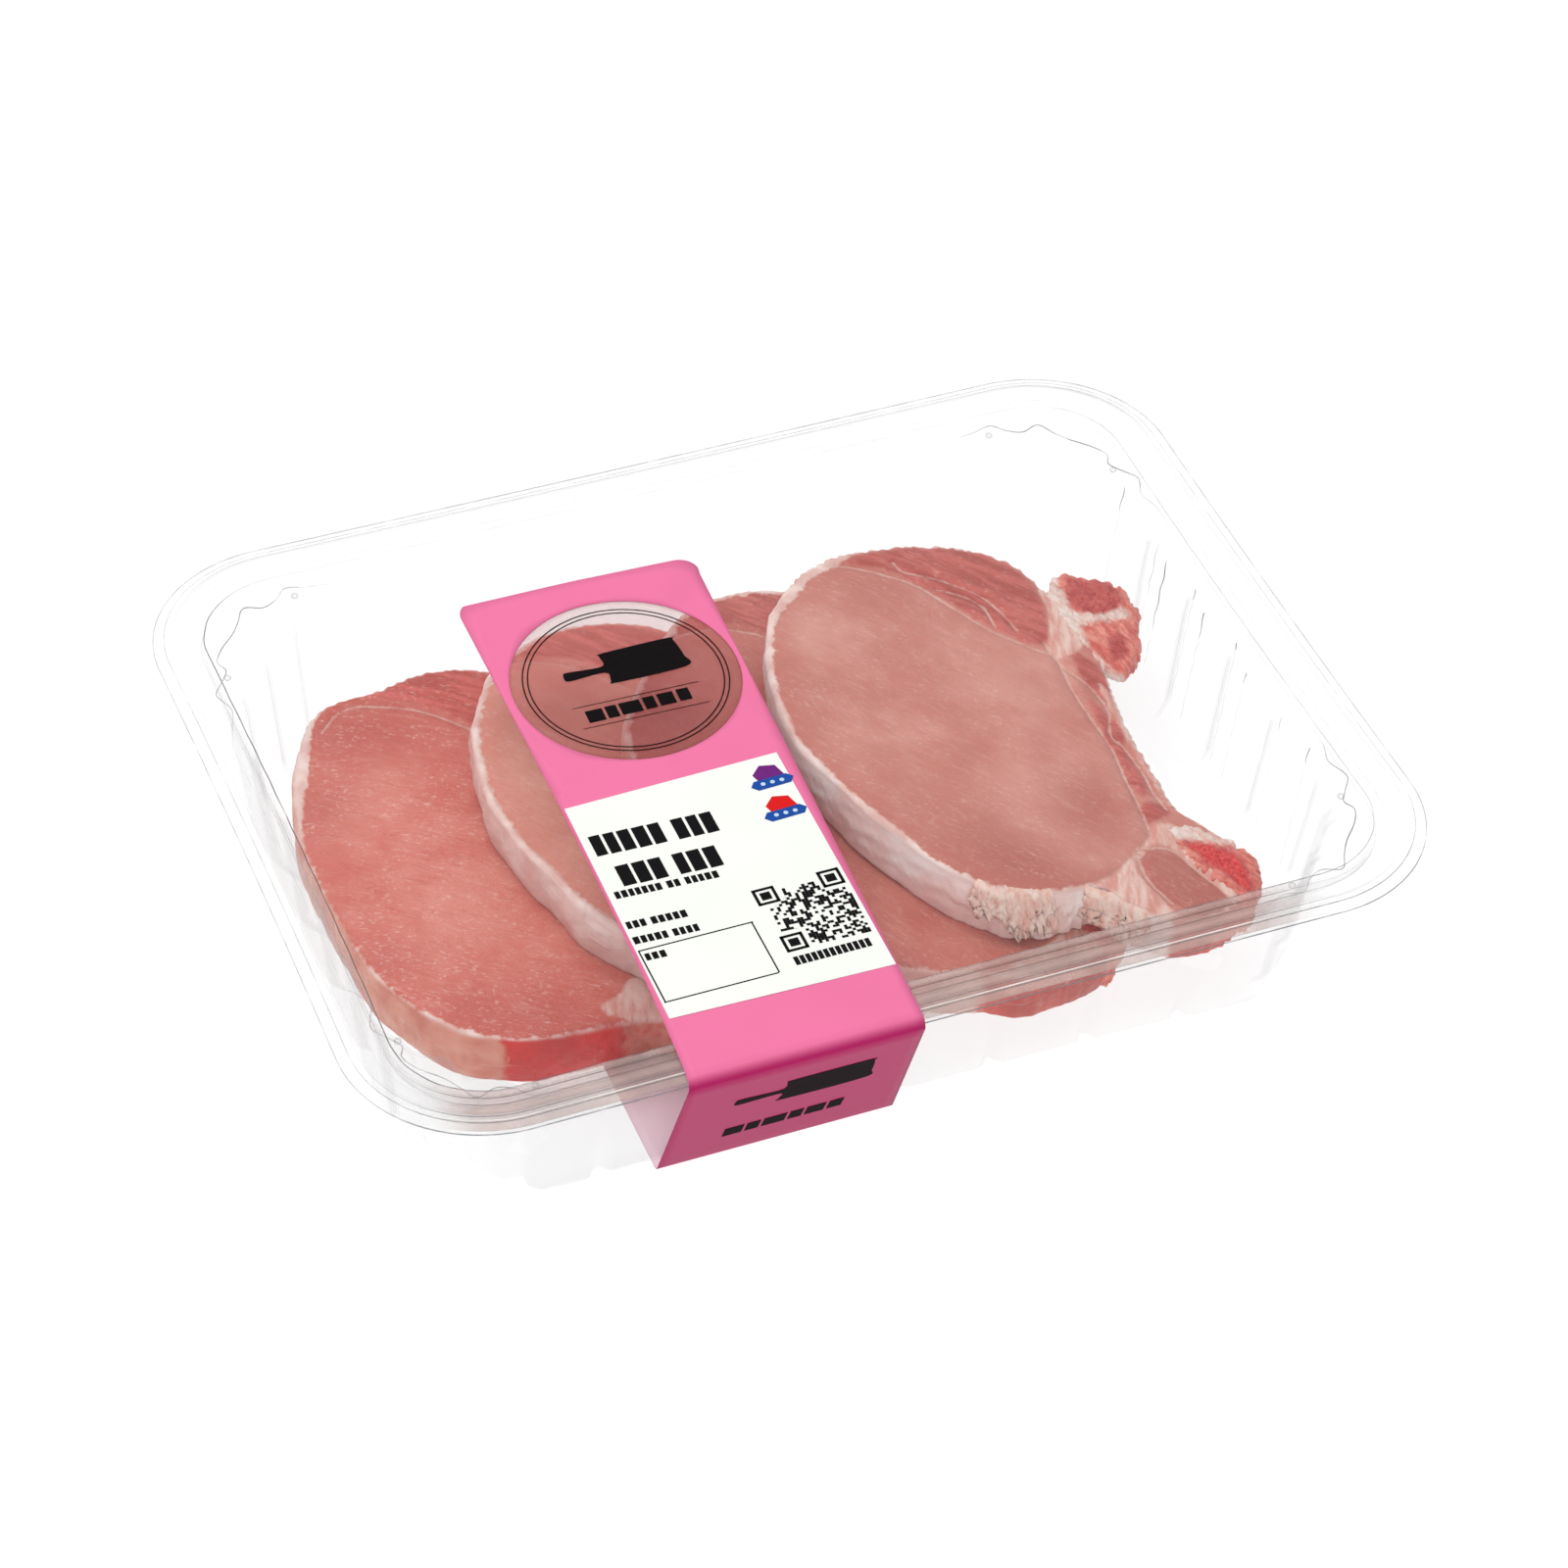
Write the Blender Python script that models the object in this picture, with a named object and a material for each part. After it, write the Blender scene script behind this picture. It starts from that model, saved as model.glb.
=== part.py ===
"""Sealed clear tray of four bone-in pork loin chops with a wrapped label.

Metres, +Z up. X runs along the tray's long side, -Y is the front, where the label folds down.
The tray stands on the four corner pads of its base.
"""
import math

import bmesh
import bpy

MM = 0.001

# rim of the tray
RIM_LENGTH = 221.8
RIM_WIDTH = 172.8
RIM_CORNER = 27.4
RIM_LAND = 7.2
RIM_TOP = 43.6
LIP_OUT = 2.6
LIP_DROP = 0.9
SHORT_SIDE_WAIST = 1.0
LONG_SIDE_WAIST = 0.4
SHEET = 0.5

# wall below the rim: how far it leans in by the time it reaches the base curve
LEDGE_DEPTH = 3.8
FLUTE_START = 8.0
WALL_FOOT = 33.5
LEAN_SHORT_SIDE = 3.6
LEAN_LONG_SIDE = 6.6
FOOT_RADIUS = 9.0

# corner facets under the small corner ledges
CUT_ALONG_LENGTH = 26.0
CUT_ALONG_WIDTH = 28.0
CUT_SHRINK = 3.5

# ribs pressed into the walls, front side first and then round to the right
FLUTE_PITCH_LONG = 20.7
FLUTES_LONG = 7
FLUTE_PITCH_SHORT = 20.4
FLUTES_SHORT = 5
FLUTE_SHIFTS = (-2.1, -4.4, -5.0, 4.4)
FLUTE_HALF_WIDTH = 2.6
FLUTE_FLOOR_HALF = 0.9
FLUTE_DEPTH = 2.4

# base: four corner pads, arched between them
PAD_START = 65.0
PAD_SLOPE = 4.0
PAD_STEP = 0.8
ARCH_RISE = 1.5

# chops
CHOP_HALF_WIDTH = 35.6
CHOP_HALF_LENGTH = 57.0
CHOP_TURN = math.radians(-12.0)
FULL_LEFT = 2.05
FULL_RIGHT = 3.2
TAIL_REACH = 17.5
TAIL_ANGLE = math.radians(-65.0)
TAIL_SPREAD = math.radians(15.0)
CHOP_CENTRE = (37.4, 2.0)
CHOP_THICK = 12.3
STEP_ON_CHOP = 0.55
EDGE_ROUND = 1.6
CHINE_AT = (87.3, 28.0)
CHINE_HALF = (7.6, 16.5)
CHINE_TURN = math.radians(-14.0)
RIB_AT = (80.2, -41.8)
RIB_HALF = (11.5, 4.2)
RIB_TURN = math.radians(-54.0)
WALL_GAP = 0.35
CORNER_ROOM = 0.85

# left edge, front-to-back shift, turn and size of each chop, first to last
CHOPS = (
    (-94.5, 6.0, 11.0, 1.00),
    (-57.5, 4.0, 9.0, 0.97),
    (-27.5, 3.0, 2.0, 0.98),
    (0.8, 0.0, 0.0, 1.00),
)
BONED = (2, 3)

# lid film and label
FILM_INSET = 0.8
FILM_UNDER = 43.8
FILM_THICK = 0.15
LABEL_THICK = 0.2
LABEL_LIFT = 44.1
LABEL_BACK = 55.0
LABEL_BACK_SKEW = 0.9
LABEL_UNDER = 45.0
LABEL_FOLD_RADIUS = 2.0
LABEL_FOLD_Y = -70.2
LABEL_LEFT = (-50.4, -53.6, -52.4)
LABEL_RIGHT = (1.4, -5.4, -2.4)
LABEL_PROUD = 0.35
CENTRE_SHIFT = 0.31


def clear_scene():
    for thing in list(bpy.data.objects):
        bpy.data.objects.remove(thing, do_unlink=True)


def signed_power(value, power):
    return math.copysign(abs(value) ** power, value)


def blend(low, high, part):
    return low + (high - low) * part


def material(name, colour, roughness, alpha=1.0):
    made = bpy.data.materials.new(name)
    made.use_nodes = True
    shader = made.node_tree.nodes["Principled BSDF"]
    shader.inputs["Base Color"].default_value = (*colour, 1.0)
    shader.inputs["Roughness"].default_value = roughness
    shader.inputs["Metallic"].default_value = 0.0
    shader.inputs["Alpha"].default_value = alpha
    made.diffuse_color = (*colour, alpha)
    return made


def add_solid(name, points, faces, made):
    work = bmesh.new()
    corners = [work.verts.new((x * MM, (y + CENTRE_SHIFT) * MM, z * MM)) for x, y, z in points]
    for face in faces:
        work.faces.new([corners[place] for place in face])
    bmesh.ops.recalc_face_normals(work, faces=work.faces)
    mesh = bpy.data.meshes.new(name)
    work.to_mesh(mesh)
    work.free()
    mesh.materials.append(made)
    thing = bpy.data.objects.new(name, mesh)
    bpy.context.scene.collection.objects.link(thing)
    return thing


def ring_walls(rings):
    """Quads between rings of equal count, outside on the left."""
    count = len(rings[0])
    points = [point for ring in rings for point in ring]
    faces = []
    for row in range(len(rings) - 1):
        low = row * count
        high = low + count
        for place in range(count):
            after = (place + 1) % count
            faces.append((low + place, low + after, high + after, high + place))
    return points, faces


def loft(rings, first_pole, last_pole):
    """Closed skin over rings of equal count, each end drawn to a pole."""
    points, faces = ring_walls(rings)
    count = len(rings[0])
    points.append(first_pole)
    points.append(last_pole)
    start = len(points) - 2
    end = len(points) - 1
    top = (len(rings) - 1) * count
    for place in range(count):
        after = (place + 1) % count
        faces.append((start, after, place))
        faces.append((end, top + place, top + after))
    return points, faces


# ---------------------------------------------------------------- tray

def side_marks(side):
    """Places along a straight side, each with its share of the rib depth."""
    flutes, pitch = ((FLUTES_LONG, FLUTE_PITCH_LONG), (FLUTES_SHORT, FLUTE_PITCH_SHORT))[side % 2]
    middles = [(number - (flutes - 1) / 2.0) * pitch + FLUTE_SHIFTS[side] for number in range(flutes)]
    places = []
    for middle in middles:
        for away in (-FLUTE_HALF_WIDTH, -FLUTE_FLOOR_HALF, FLUTE_FLOOR_HALF, FLUTE_HALF_WIDTH):
            places.append(middle + away)
    if side % 2 == 0:
        for edge in (PAD_START, PAD_START - PAD_SLOPE):
            places.extend((-edge, edge))
    marks = []
    for place in sorted(places):
        nearest = min(abs(place - middle) for middle in middles)
        share = (FLUTE_HALF_WIDTH - nearest) / (FLUTE_HALF_WIDTH - FLUTE_FLOOR_HALF)
        marks.append((place, min(1.0, max(0.0, share))))
    return marks


LAST_MARKS = [max(abs(place) for place, rib in side_marks(side)) for side in range(4)]


def corner_marks():
    """Shares of the way round a corner, each with its share of the rib depth."""
    marks = [(0.0, 0.0)]
    for middle in (0.17, 0.5, 0.83):
        marks.append((middle - 0.075, 0.0))
        marks.append((middle - 0.03, 0.8))
        marks.append((middle + 0.03, 0.8))
        marks.append((middle + 0.075, 0.0))
    marks.append((1.0, 0.0))
    return marks


def stations():
    """Counter-clockwise: front side, then corner, right side, and so on."""
    found = []
    for side in range(4):
        for along, rib in side_marks(side):
            found.append(("side", side, along, rib))
        for share, rib in corner_marks():
            found.append(("corner", side, share, rib))
    return found


def waist(x, y, half_length, half_width):
    """The film's pull draws the middle of every side in a little."""
    reach_x = max(0.0, 1.0 - (y / half_width) ** 2)
    reach_y = max(0.0, 1.0 - (x / half_length) ** 2)
    return (
        x * (1.0 - SHORT_SIDE_WAIST * reach_x / half_length),
        y * (1.0 - LONG_SIDE_WAIST * reach_y / half_width),
    )


def plan_point(station, inset_x, inset_y, cut_in, rib_depth):
    """Point of an outline; cut_in above 0 turns the round corner into a flat facet."""
    kind, side, place, rib = station
    half_length = RIM_LENGTH / 2.0 - inset_x
    half_width = RIM_WIDTH / 2.0 - inset_y
    radius = max(RIM_CORNER - (inset_x + inset_y) / 2.0, 4.0)
    part = min(1.0, cut_in)
    cut_x = CUT_ALONG_LENGTH - CUT_SHRINK * max(0.0, cut_in - 1.0)
    cut_y = CUT_ALONG_WIDTH - CUT_SHRINK * max(0.0, cut_in - 1.0)
    if kind == "side":
        turn = side * math.pi / 2.0
        straight = (half_length - blend(radius, cut_x, part), half_width - blend(radius, cut_y, part))[side % 2]
        place *= min(1.0, straight / (LAST_MARKS[side] + 0.4))
        offset = half_width if side % 2 == 0 else half_length
        offset -= rib * rib_depth
        x = place * math.cos(turn) + offset * math.sin(turn)
        y = place * math.sin(turn) - offset * math.cos(turn)
        return waist(x, y, half_length, half_width)
    sign_x = (1.0, 1.0, -1.0, -1.0)[side]
    sign_y = (-1.0, 1.0, 1.0, -1.0)[side]
    share = place if side % 2 == 0 else 1.0 - place
    angle = share * math.pi / 2.0
    round_x = half_length - radius + radius * math.sin(angle)
    round_y = half_width - radius + radius * math.cos(angle)
    flat_x = half_length - cut_x * (1.0 - share)
    flat_y = half_width - cut_y * share
    bulge = 1.6 * math.sin(math.pi * share)
    flat_x += bulge * 0.75
    flat_y += bulge * 0.65
    x = blend(round_x, flat_x, part) - rib * rib_depth * 0.75
    y = blend(round_y, flat_y, part) - rib * rib_depth * 0.65
    return waist(x * sign_x, y * sign_y, half_length, half_width)


def pad_rise(x):
    """Height of the arched base above the corner pads."""
    if abs(x) >= PAD_START:
        return 0.0
    step = min(1.0, (PAD_START - abs(x)) / PAD_SLOPE)
    return PAD_STEP * step + ARCH_RISE * (1.0 - (x / PAD_START) ** 2)


def wall_row(depth, lean, cut_in, ribbed, extra, lift=0.0):
    """One ring of the tray at a depth under the rim top; lean runs 0 at the top to 1 at the foot."""
    inset_x = RIM_LAND + LEAN_SHORT_SIDE * lean + extra
    inset_y = RIM_LAND + LEAN_LONG_SIDE * lean + extra
    ring = []
    for station in stations():
        x, y = plan_point(station, inset_x, inset_y, cut_in, ribbed * FLUTE_DEPTH)
        ring.append((x, y, RIM_TOP - depth + lift * pad_rise(x)))
    return ring


def rim_row(inset, depth):
    ring = []
    for station in stations():
        x, y = plan_point(station, inset, inset, 0.0, 0.0)
        ring.append((x, y, RIM_TOP - depth))
    return ring


def arch_strip(front, back):
    """Triangles between the front and the back edge of the arch, walked together along X."""
    faces = []
    here = 0
    there = 0
    while here < len(front) - 1 or there < len(back) - 1:
        front_left = here < len(front) - 1
        if there == len(back) - 1 or (front_left and front[here + 1][0] <= back[there + 1][0]):
            faces.append((front[here][1], front[here + 1][1], back[there][1]))
            here += 1
        else:
            faces.append((front[here][1], back[there + 1][1], back[there][1]))
            there += 1
    return faces


def base_caps(first, count):
    """Faces over one ring of the base: a flat pad at each end and a strip across the arch between."""
    places = [place for place, rib in side_marks(0)]
    back_places = [-place for place, rib in side_marks(2)]
    back_start = [(station[0], station[1]) for station in stations()].index(("side", 2))
    front = [(x, first + number) for number, x in enumerate(places) if abs(x) <= PAD_START]
    back = [(x, first + back_start + number) for number, x in enumerate(back_places) if abs(x) <= PAD_START]
    back.reverse()
    caps = arch_strip(front, back)
    caps.append(range(front[-1][1], back[-1][1] + 1))
    left = range(back[0][1] - first, front[0][1] - first + count + 1)
    caps.append([first + number % count for number in left])
    return caps


def build_tray(made):
    slant = FOOT_RADIUS * (1.0 - math.cos(math.radians(45.0)))
    drop = FOOT_RADIUS * math.sin(math.radians(45.0))
    foot = RIM_TOP - FOOT_RADIUS
    outer_base = wall_row(RIM_TOP, 1.0, 2.0, 0.4, FOOT_RADIUS * 0.92, 1.0)
    inner_base = [(x, y, z + SHEET) for x, y, z in outer_base]
    rings = [
        outer_base,
        wall_row(foot + drop, 1.0, 2.0, 0.9, slant, 0.8),
        wall_row(WALL_FOOT, 1.0, 1.9, 1.0, 0.0, 0.3),
        wall_row(FLUTE_START, 0.16, 1.1, 0.8, 0.0),
        wall_row(LEDGE_DEPTH + SHEET, 0.03, 1.0, 0.0, 0.0),
        wall_row(LEDGE_DEPTH + SHEET, 0.0, 0.0, 0.0, 0.0),
        wall_row(SHEET, 0.0, 0.0, 0.0, 0.0),
        rim_row(0.4, SHEET),
        rim_row(-LIP_OUT, LIP_DROP + SHEET),
        rim_row(-LIP_OUT, LIP_DROP),
        rim_row(0.0, 0.0),
        wall_row(0.0, 0.0, 0.0, 0.0, SHEET),
        wall_row(LEDGE_DEPTH, 0.0, 0.0, 0.0, SHEET),
        wall_row(LEDGE_DEPTH, 0.03, 1.0, 0.0, SHEET),
        wall_row(FLUTE_START, 0.16, 1.1, 0.8, SHEET),
        wall_row(WALL_FOOT, 1.0, 1.9, 1.0, SHEET, 0.3),
        wall_row(foot + drop - SHEET * 0.7, 1.0, 2.0, 0.9, slant + SHEET * 0.7, 0.8),
        inner_base,
    ]
    points, faces = ring_walls(rings)
    count = len(outer_base)
    faces.extend(base_caps(0, count))
    faces.extend(base_caps(count * (len(rings) - 1), count))
    return add_solid("tray", points, faces, made)


# ---------------------------------------------------------------- chops

def second_underside(x):
    return 15.0 - 0.118 * (x + 58.0) - 0.13 * max(0.0, x + 27.0)


def third_underside(x):
    return 24.4 - 0.25 * (x + 27.0)


def base_under(x):
    return SHEET + pad_rise(x) + 0.45


def underside(number, x):
    if number == 0:
        return base_under(x)
    if number == 1:
        return max(second_underside(x), base_under(x))
    if number == 2:
        return max(third_underside(x), base_under(x))
    return max(third_underside(x) + CHOP_THICK + STEP_ON_CHOP, base_under(x))


def topside(number, x):
    if number == 0:
        return min(14.4, second_underside(x) - STEP_ON_CHOP)
    if number == 1:
        return min(second_underside(x) + CHOP_THICK, third_underside(x) - STEP_ON_CHOP)
    if number == 2:
        return third_underside(x) + CHOP_THICK
    return third_underside(x) + 2.0 * CHOP_THICK + STEP_ON_CHOP


def chop_reach(angle):
    """Distance from the middle of a chop to its edge in one direction."""
    turned = angle - CHOP_TURN
    right = 0.5 + 0.5 * math.cos(turned)
    power = blend(FULL_LEFT, FULL_RIGHT, right)
    wide = abs(math.cos(turned) / CHOP_HALF_WIDTH) ** power
    long = abs(math.sin(turned) / CHOP_HALF_LENGTH) ** power
    reach = (wide + long) ** (-1.0 / power)
    away = math.atan2(math.sin(angle - TAIL_ANGLE), math.cos(angle - TAIL_ANGLE))
    return reach + TAIL_REACH * math.exp(-((away / TAIL_SPREAD) ** 2))


def placed(number, u, v):
    """From a chop's own plan to the tray's plan."""
    left, shift, turn, size = CHOPS[number]
    turned = math.radians(turn)
    x = (u * math.cos(turned) - v * math.sin(turned)) * size
    y = (u * math.sin(turned) + v * math.cos(turned)) * size
    return left + x, shift + y


def wall_inset(height, lean_in):
    """How far the inside of the wall stands in from the rim at one height."""
    foot_height = RIM_TOP - WALL_FOOT
    turn_height = FOOT_RADIUS * (1.0 - math.sin(math.radians(45.0)))
    turn_inset = FOOT_RADIUS * (1.0 - math.cos(math.radians(45.0)))
    if height > foot_height:
        return RIM_LAND + lean_in * (RIM_TOP - height) / WALL_FOOT
    if height > turn_height:
        share = (foot_height - height) / (foot_height - turn_height)
        return RIM_LAND + lean_in + turn_inset * share
    share = (turn_height - height) / turn_height
    return RIM_LAND + lean_in + blend(turn_inset, FOOT_RADIUS * 0.92, share)


def kept_inside(x, y, height):
    """Meat pressed against the wall takes the wall's line."""
    level = max(0.0, height - SHEET - pad_rise(x))
    room = FLUTE_DEPTH + SHEET + WALL_GAP
    inset_x = wall_inset(level, LEAN_SHORT_SIDE) + room
    inset_y = wall_inset(level, LEAN_LONG_SIDE) + room
    half_x = RIM_LENGTH / 2.0 - inset_x - SHORT_SIDE_WAIST
    half_y = RIM_WIDTH / 2.0 - inset_y - LONG_SIDE_WAIST
    x = min(half_x, max(-half_x, x))
    y = min(half_y, max(-half_y, y))
    share = (abs(x) - half_x + CUT_ALONG_LENGTH) / CUT_ALONG_LENGTH
    if share > 0.0:
        room_y = half_y - share * CUT_ALONG_WIDTH * CORNER_ROOM
        y = min(room_y, max(-room_y, y))
    return x, y


def slab(number, plan, centre):
    """Closed slab over a plan outline, lying between its chop's underside and topside."""
    def row(share, level):
        ring = []
        for u, v in plan:
            x, y = placed(number, blend(centre[0], u, share), blend(centre[1], v, share))
            height = blend(underside(number, x), topside(number, x), level)
            x, y = kept_inside(x, y, height)
            ring.append((x, y, blend(underside(number, x), topside(number, x), level)))
        return ring

    edge = 1.0 - EDGE_ROUND / 38.0
    rows = [
        row(0.5, 0.0),
        row(edge, 0.0),
        row(1.0, 0.14),
        row(1.0, 0.86),
        row(edge, 1.0),
        row(0.5, 1.0),
    ]
    x, y = placed(number, *centre)
    return loft(rows, (x, y, underside(number, x)), (x, y, topside(number, x)))


def chop_plan(count):
    plan = []
    for step in range(count):
        angle = 2.0 * math.pi * step / count
        reach = chop_reach(angle)
        plan.append((CHOP_CENTRE[0] + reach * math.cos(angle), CHOP_CENTRE[1] + reach * math.sin(angle)))
    return plan


def bone_plan(middle, half, turn, count):
    plan = []
    for step in range(count):
        angle = 2.0 * math.pi * (step + 0.5) / count
        u = half[0] * signed_power(math.cos(angle), 0.7)
        v = half[1] * signed_power(math.sin(angle), 0.7)
        plan.append((
            middle[0] + u * math.cos(turn) - v * math.sin(turn),
            middle[1] + u * math.sin(turn) + v * math.cos(turn),
        ))
    return plan


def build_chops(meat, bone):
    plan = chop_plan(44)
    for number in range(len(CHOPS)):
        points, faces = slab(number, plan, CHOP_CENTRE)
        add_solid("chop_%d" % (number + 1), points, faces, meat)
        if number not in BONED:
            continue
        chine = bone_plan(CHINE_AT, CHINE_HALF, CHINE_TURN, 14)
        points, faces = slab(number, chine, CHINE_AT)
        add_solid("chine_bone_%d" % (number + 1), points, faces, bone)
        rib = bone_plan(RIB_AT, RIB_HALF, RIB_TURN, 12)
        points, faces = slab(number, rib, RIB_AT)
        add_solid("rib_bone_%d" % (number + 1), points, faces, bone)


# ---------------------------------------------------------------- film and label

def build_film(made):
    bottom = []
    top = []
    for station in stations():
        if station[0] == "side" and station[3] > 0.5:
            continue
        x, y = plan_point(station, FILM_INSET, FILM_INSET, 0.0, 0.0)
        bottom.append((x, y, FILM_UNDER))
        top.append((x, y, FILM_UNDER + FILM_THICK))
    points, faces = loft([bottom, top], (0.0, 0.0, FILM_UNDER), (0.0, 0.0, FILM_UNDER + FILM_THICK))
    return add_solid("lid_film", points, faces, made)


def label_path():
    """Middle line of the label from its back end, over the rim, down and under the base."""
    lip_y = -(RIM_WIDTH / 2.0 + LIP_OUT + LABEL_PROUD)
    level = LABEL_LIFT + LABEL_THICK / 2.0
    path = [
        (LABEL_BACK, level),
        (0.0, level),
        (-(RIM_WIDTH / 2.0 + 0.2), level),
        (lip_y + 0.25, RIM_TOP - LIP_DROP + 0.35),
        (lip_y, RIM_TOP - LIP_DROP - 0.6),
    ]
    fold_z = LABEL_FOLD_RADIUS + LABEL_THICK / 2.0
    slope = math.atan2(RIM_TOP - LIP_DROP - fold_z, lip_y - LABEL_FOLD_Y)
    start = slope + math.pi / 2.0
    for step in range(5):
        angle = blend(start, 1.5 * math.pi, step / 4.0)
        y = LABEL_FOLD_Y + LABEL_FOLD_RADIUS + LABEL_FOLD_RADIUS * math.cos(angle)
        z = fold_z + LABEL_FOLD_RADIUS * math.sin(angle)
        path.append((y, z))
    path.append((LABEL_FOLD_Y + LABEL_FOLD_RADIUS + LABEL_UNDER, LABEL_THICK / 2.0))
    return path


def label_edges(place, path):
    """Left and right edge of the label at one place of its path."""
    y, z = path[place]
    if z > RIM_TOP:
        share = (LABEL_BACK - y) / (LABEL_BACK + RIM_WIDTH / 2.0)
        return blend(LABEL_LEFT[0], LABEL_LEFT[1], share ** 4), blend(LABEL_RIGHT[0], LABEL_RIGHT[1], share)
    share = min(1.0, max(0.0, (RIM_TOP - z) / (RIM_TOP - LABEL_FOLD_RADIUS)))
    return blend(LABEL_LEFT[1], LABEL_LEFT[2], share), blend(LABEL_RIGHT[1], LABEL_RIGHT[2], share)


def build_label(made):
    path = label_path()
    points = []
    for place, (y, z) in enumerate(path):
        before = path[max(0, place - 1)]
        after = path[min(len(path) - 1, place + 1)]
        run_y = after[0] - before[0]
        run_z = after[1] - before[1]
        length = math.hypot(run_y, run_z)
        out_y = run_z / length * LABEL_THICK / 2.0
        out_z = -run_y / length * LABEL_THICK / 2.0
        skew = LABEL_BACK_SKEW if place == 0 else 0.0
        left, right = label_edges(place, path)
        for x, aside in ((left, skew), (right, -skew)):
            points.append((x, y + out_y + aside, z + out_z))
            points.append((x, y - out_y + aside, z - out_z))
    faces = []
    for place in range(len(path) - 1):
        a = place * 4
        b = a + 4
        faces.append((a, b, b + 2, a + 2))
        faces.append((a + 1, a + 3, b + 3, b + 1))
        faces.append((a, a + 1, b + 1, b))
        faces.append((a + 2, b + 2, b + 3, a + 3))
    last = (len(path) - 1) * 4
    faces.append((0, 2, 3, 1))
    faces.append((last, last + 1, last + 3, last + 2))
    return add_solid("label", points, faces, made)


def main():
    clear_scene()
    build_tray(material("clear_plastic", (0.92, 0.94, 0.95), 0.12, 0.35))
    build_chops(
        material("raw_pork", (0.72, 0.30, 0.25), 0.42),
        material("raw_bone", (0.62, 0.20, 0.17), 0.5),
    )
    build_film(material("clear_film", (0.97, 0.97, 0.98), 0.08, 0.2))
    build_label(material("pink_label", (0.90, 0.19, 0.42), 0.4))


main()
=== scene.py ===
"""Looks of a sealed meat tray: clear formed tray, lid film, wrapped label, loin chops and bones.

Sizes are in millimetres in the tray's own plan, with X and Y from the middle of the rim and Z from
the plane that the tray stands on, and turned into metres as each mesh is made.
"""

import math

import bmesh
import bpy
import numpy as np
from bpy.props import FloatProperty, FloatVectorProperty, PointerProperty
from bpy.types import Operator, Panel, PropertyGroup
from mathutils import Matrix, Vector


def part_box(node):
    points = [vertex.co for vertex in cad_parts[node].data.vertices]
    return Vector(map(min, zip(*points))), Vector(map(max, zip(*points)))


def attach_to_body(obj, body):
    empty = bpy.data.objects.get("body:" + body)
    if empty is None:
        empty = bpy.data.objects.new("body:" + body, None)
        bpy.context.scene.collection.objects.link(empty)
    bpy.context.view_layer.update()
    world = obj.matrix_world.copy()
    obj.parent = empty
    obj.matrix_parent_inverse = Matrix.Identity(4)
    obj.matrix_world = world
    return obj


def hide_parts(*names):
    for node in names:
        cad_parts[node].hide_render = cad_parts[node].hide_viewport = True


bl_info = {
    "name": "Meat tray pack",
    "version": (1, 0, 0),
    "blender": (4, 5, 0),
    "location": "View3D > Sidebar > Meat tray",
    "description": "Builds a sealed tray of loin chops around its packed frame",
    "category": "Object",
}

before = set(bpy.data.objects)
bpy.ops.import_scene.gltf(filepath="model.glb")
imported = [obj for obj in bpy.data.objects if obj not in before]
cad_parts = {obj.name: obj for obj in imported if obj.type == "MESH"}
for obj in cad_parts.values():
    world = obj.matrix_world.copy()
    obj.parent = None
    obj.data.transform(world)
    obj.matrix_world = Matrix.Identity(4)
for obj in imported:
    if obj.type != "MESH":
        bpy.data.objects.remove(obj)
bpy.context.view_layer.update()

MM = 0.001
TRAY_LOW, TRAY_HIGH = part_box("tray")
RIM_MIDDLE_Y = (TRAY_LOW.y + TRAY_HIGH.y) / 2.0 / MM

# rim
RIM_TOP = TRAY_HIGH.z / MM
LIP_OUT = 2.6
RIM_LENGTH = 221.8
RIM_WIDTH = 172.8
RIM_CORNER = 27.4
RIM_LAND = 7.2
SHORT_SIDE_WAIST = 1.0
LONG_SIDE_WAIST = 0.4

# wall
LEDGE_DEPTH = 3.9
FLUTE_START = 7.0
WALL_FOOT = 33.5
LEAN_SHORT_SIDE = 3.6
LEAN_LONG_SIDE = 6.6
FOOT_RADIUS = 9.0
CUT_ALONG_LENGTH = 26.0
CUT_ALONG_WIDTH = 28.0
CUT_SHRINK = 3.5

# ribs of the wall, told for the front, the right, the back and the left
FLUTES = (7, 5, 7, 5)
FLUTE_PITCHES = (20.7, 20.4, 20.7, 20.4)
FLUTE_SHIFTS = (-2.1, -4.4, -5.0, 4.4)
FLUTE_HALF_WIDTH = 2.7
CORNER_FLUTES = (0.17, 0.5, 0.83)

# base
PAD_START = 65.0
PAD_SLOPE = 4.0
PAD_STEP = 0.8
ARCH_RISE = 1.5

# fine parts of the rim
CORNER_SIGNS = ((-1.0, -1.0), (-1.0, 1.0), (1.0, -1.0), (1.0, 1.0))
LUG_PLACES = ((99.6, 55.5), (79.0, 75.6))
LUG_RADIUS = 0.75
BEAD_SIDES = 6
BAND_THICK = 0.03
TONE_BOX = (112.0, 88.0)
TONE_REACH = 60.0
FILM_THICK = 0.05
FILM_CORNER = (104.0, 80.0)

# label
LABEL_LIFT = 44.1
LABEL_BACK = 55.0
LABEL_UNDER = 45.0
LABEL_FOLD_Y = -70.2
LABEL_FOLD_RADIUS = 2.0
LABEL_THICK = 0.2
WINDOW_AT = (-24.9, 22.2)
WINDOW_ALONG = LABEL_BACK - WINDOW_AT[1]
WINDOW_RADIUS = (23.7, 24.6)

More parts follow.
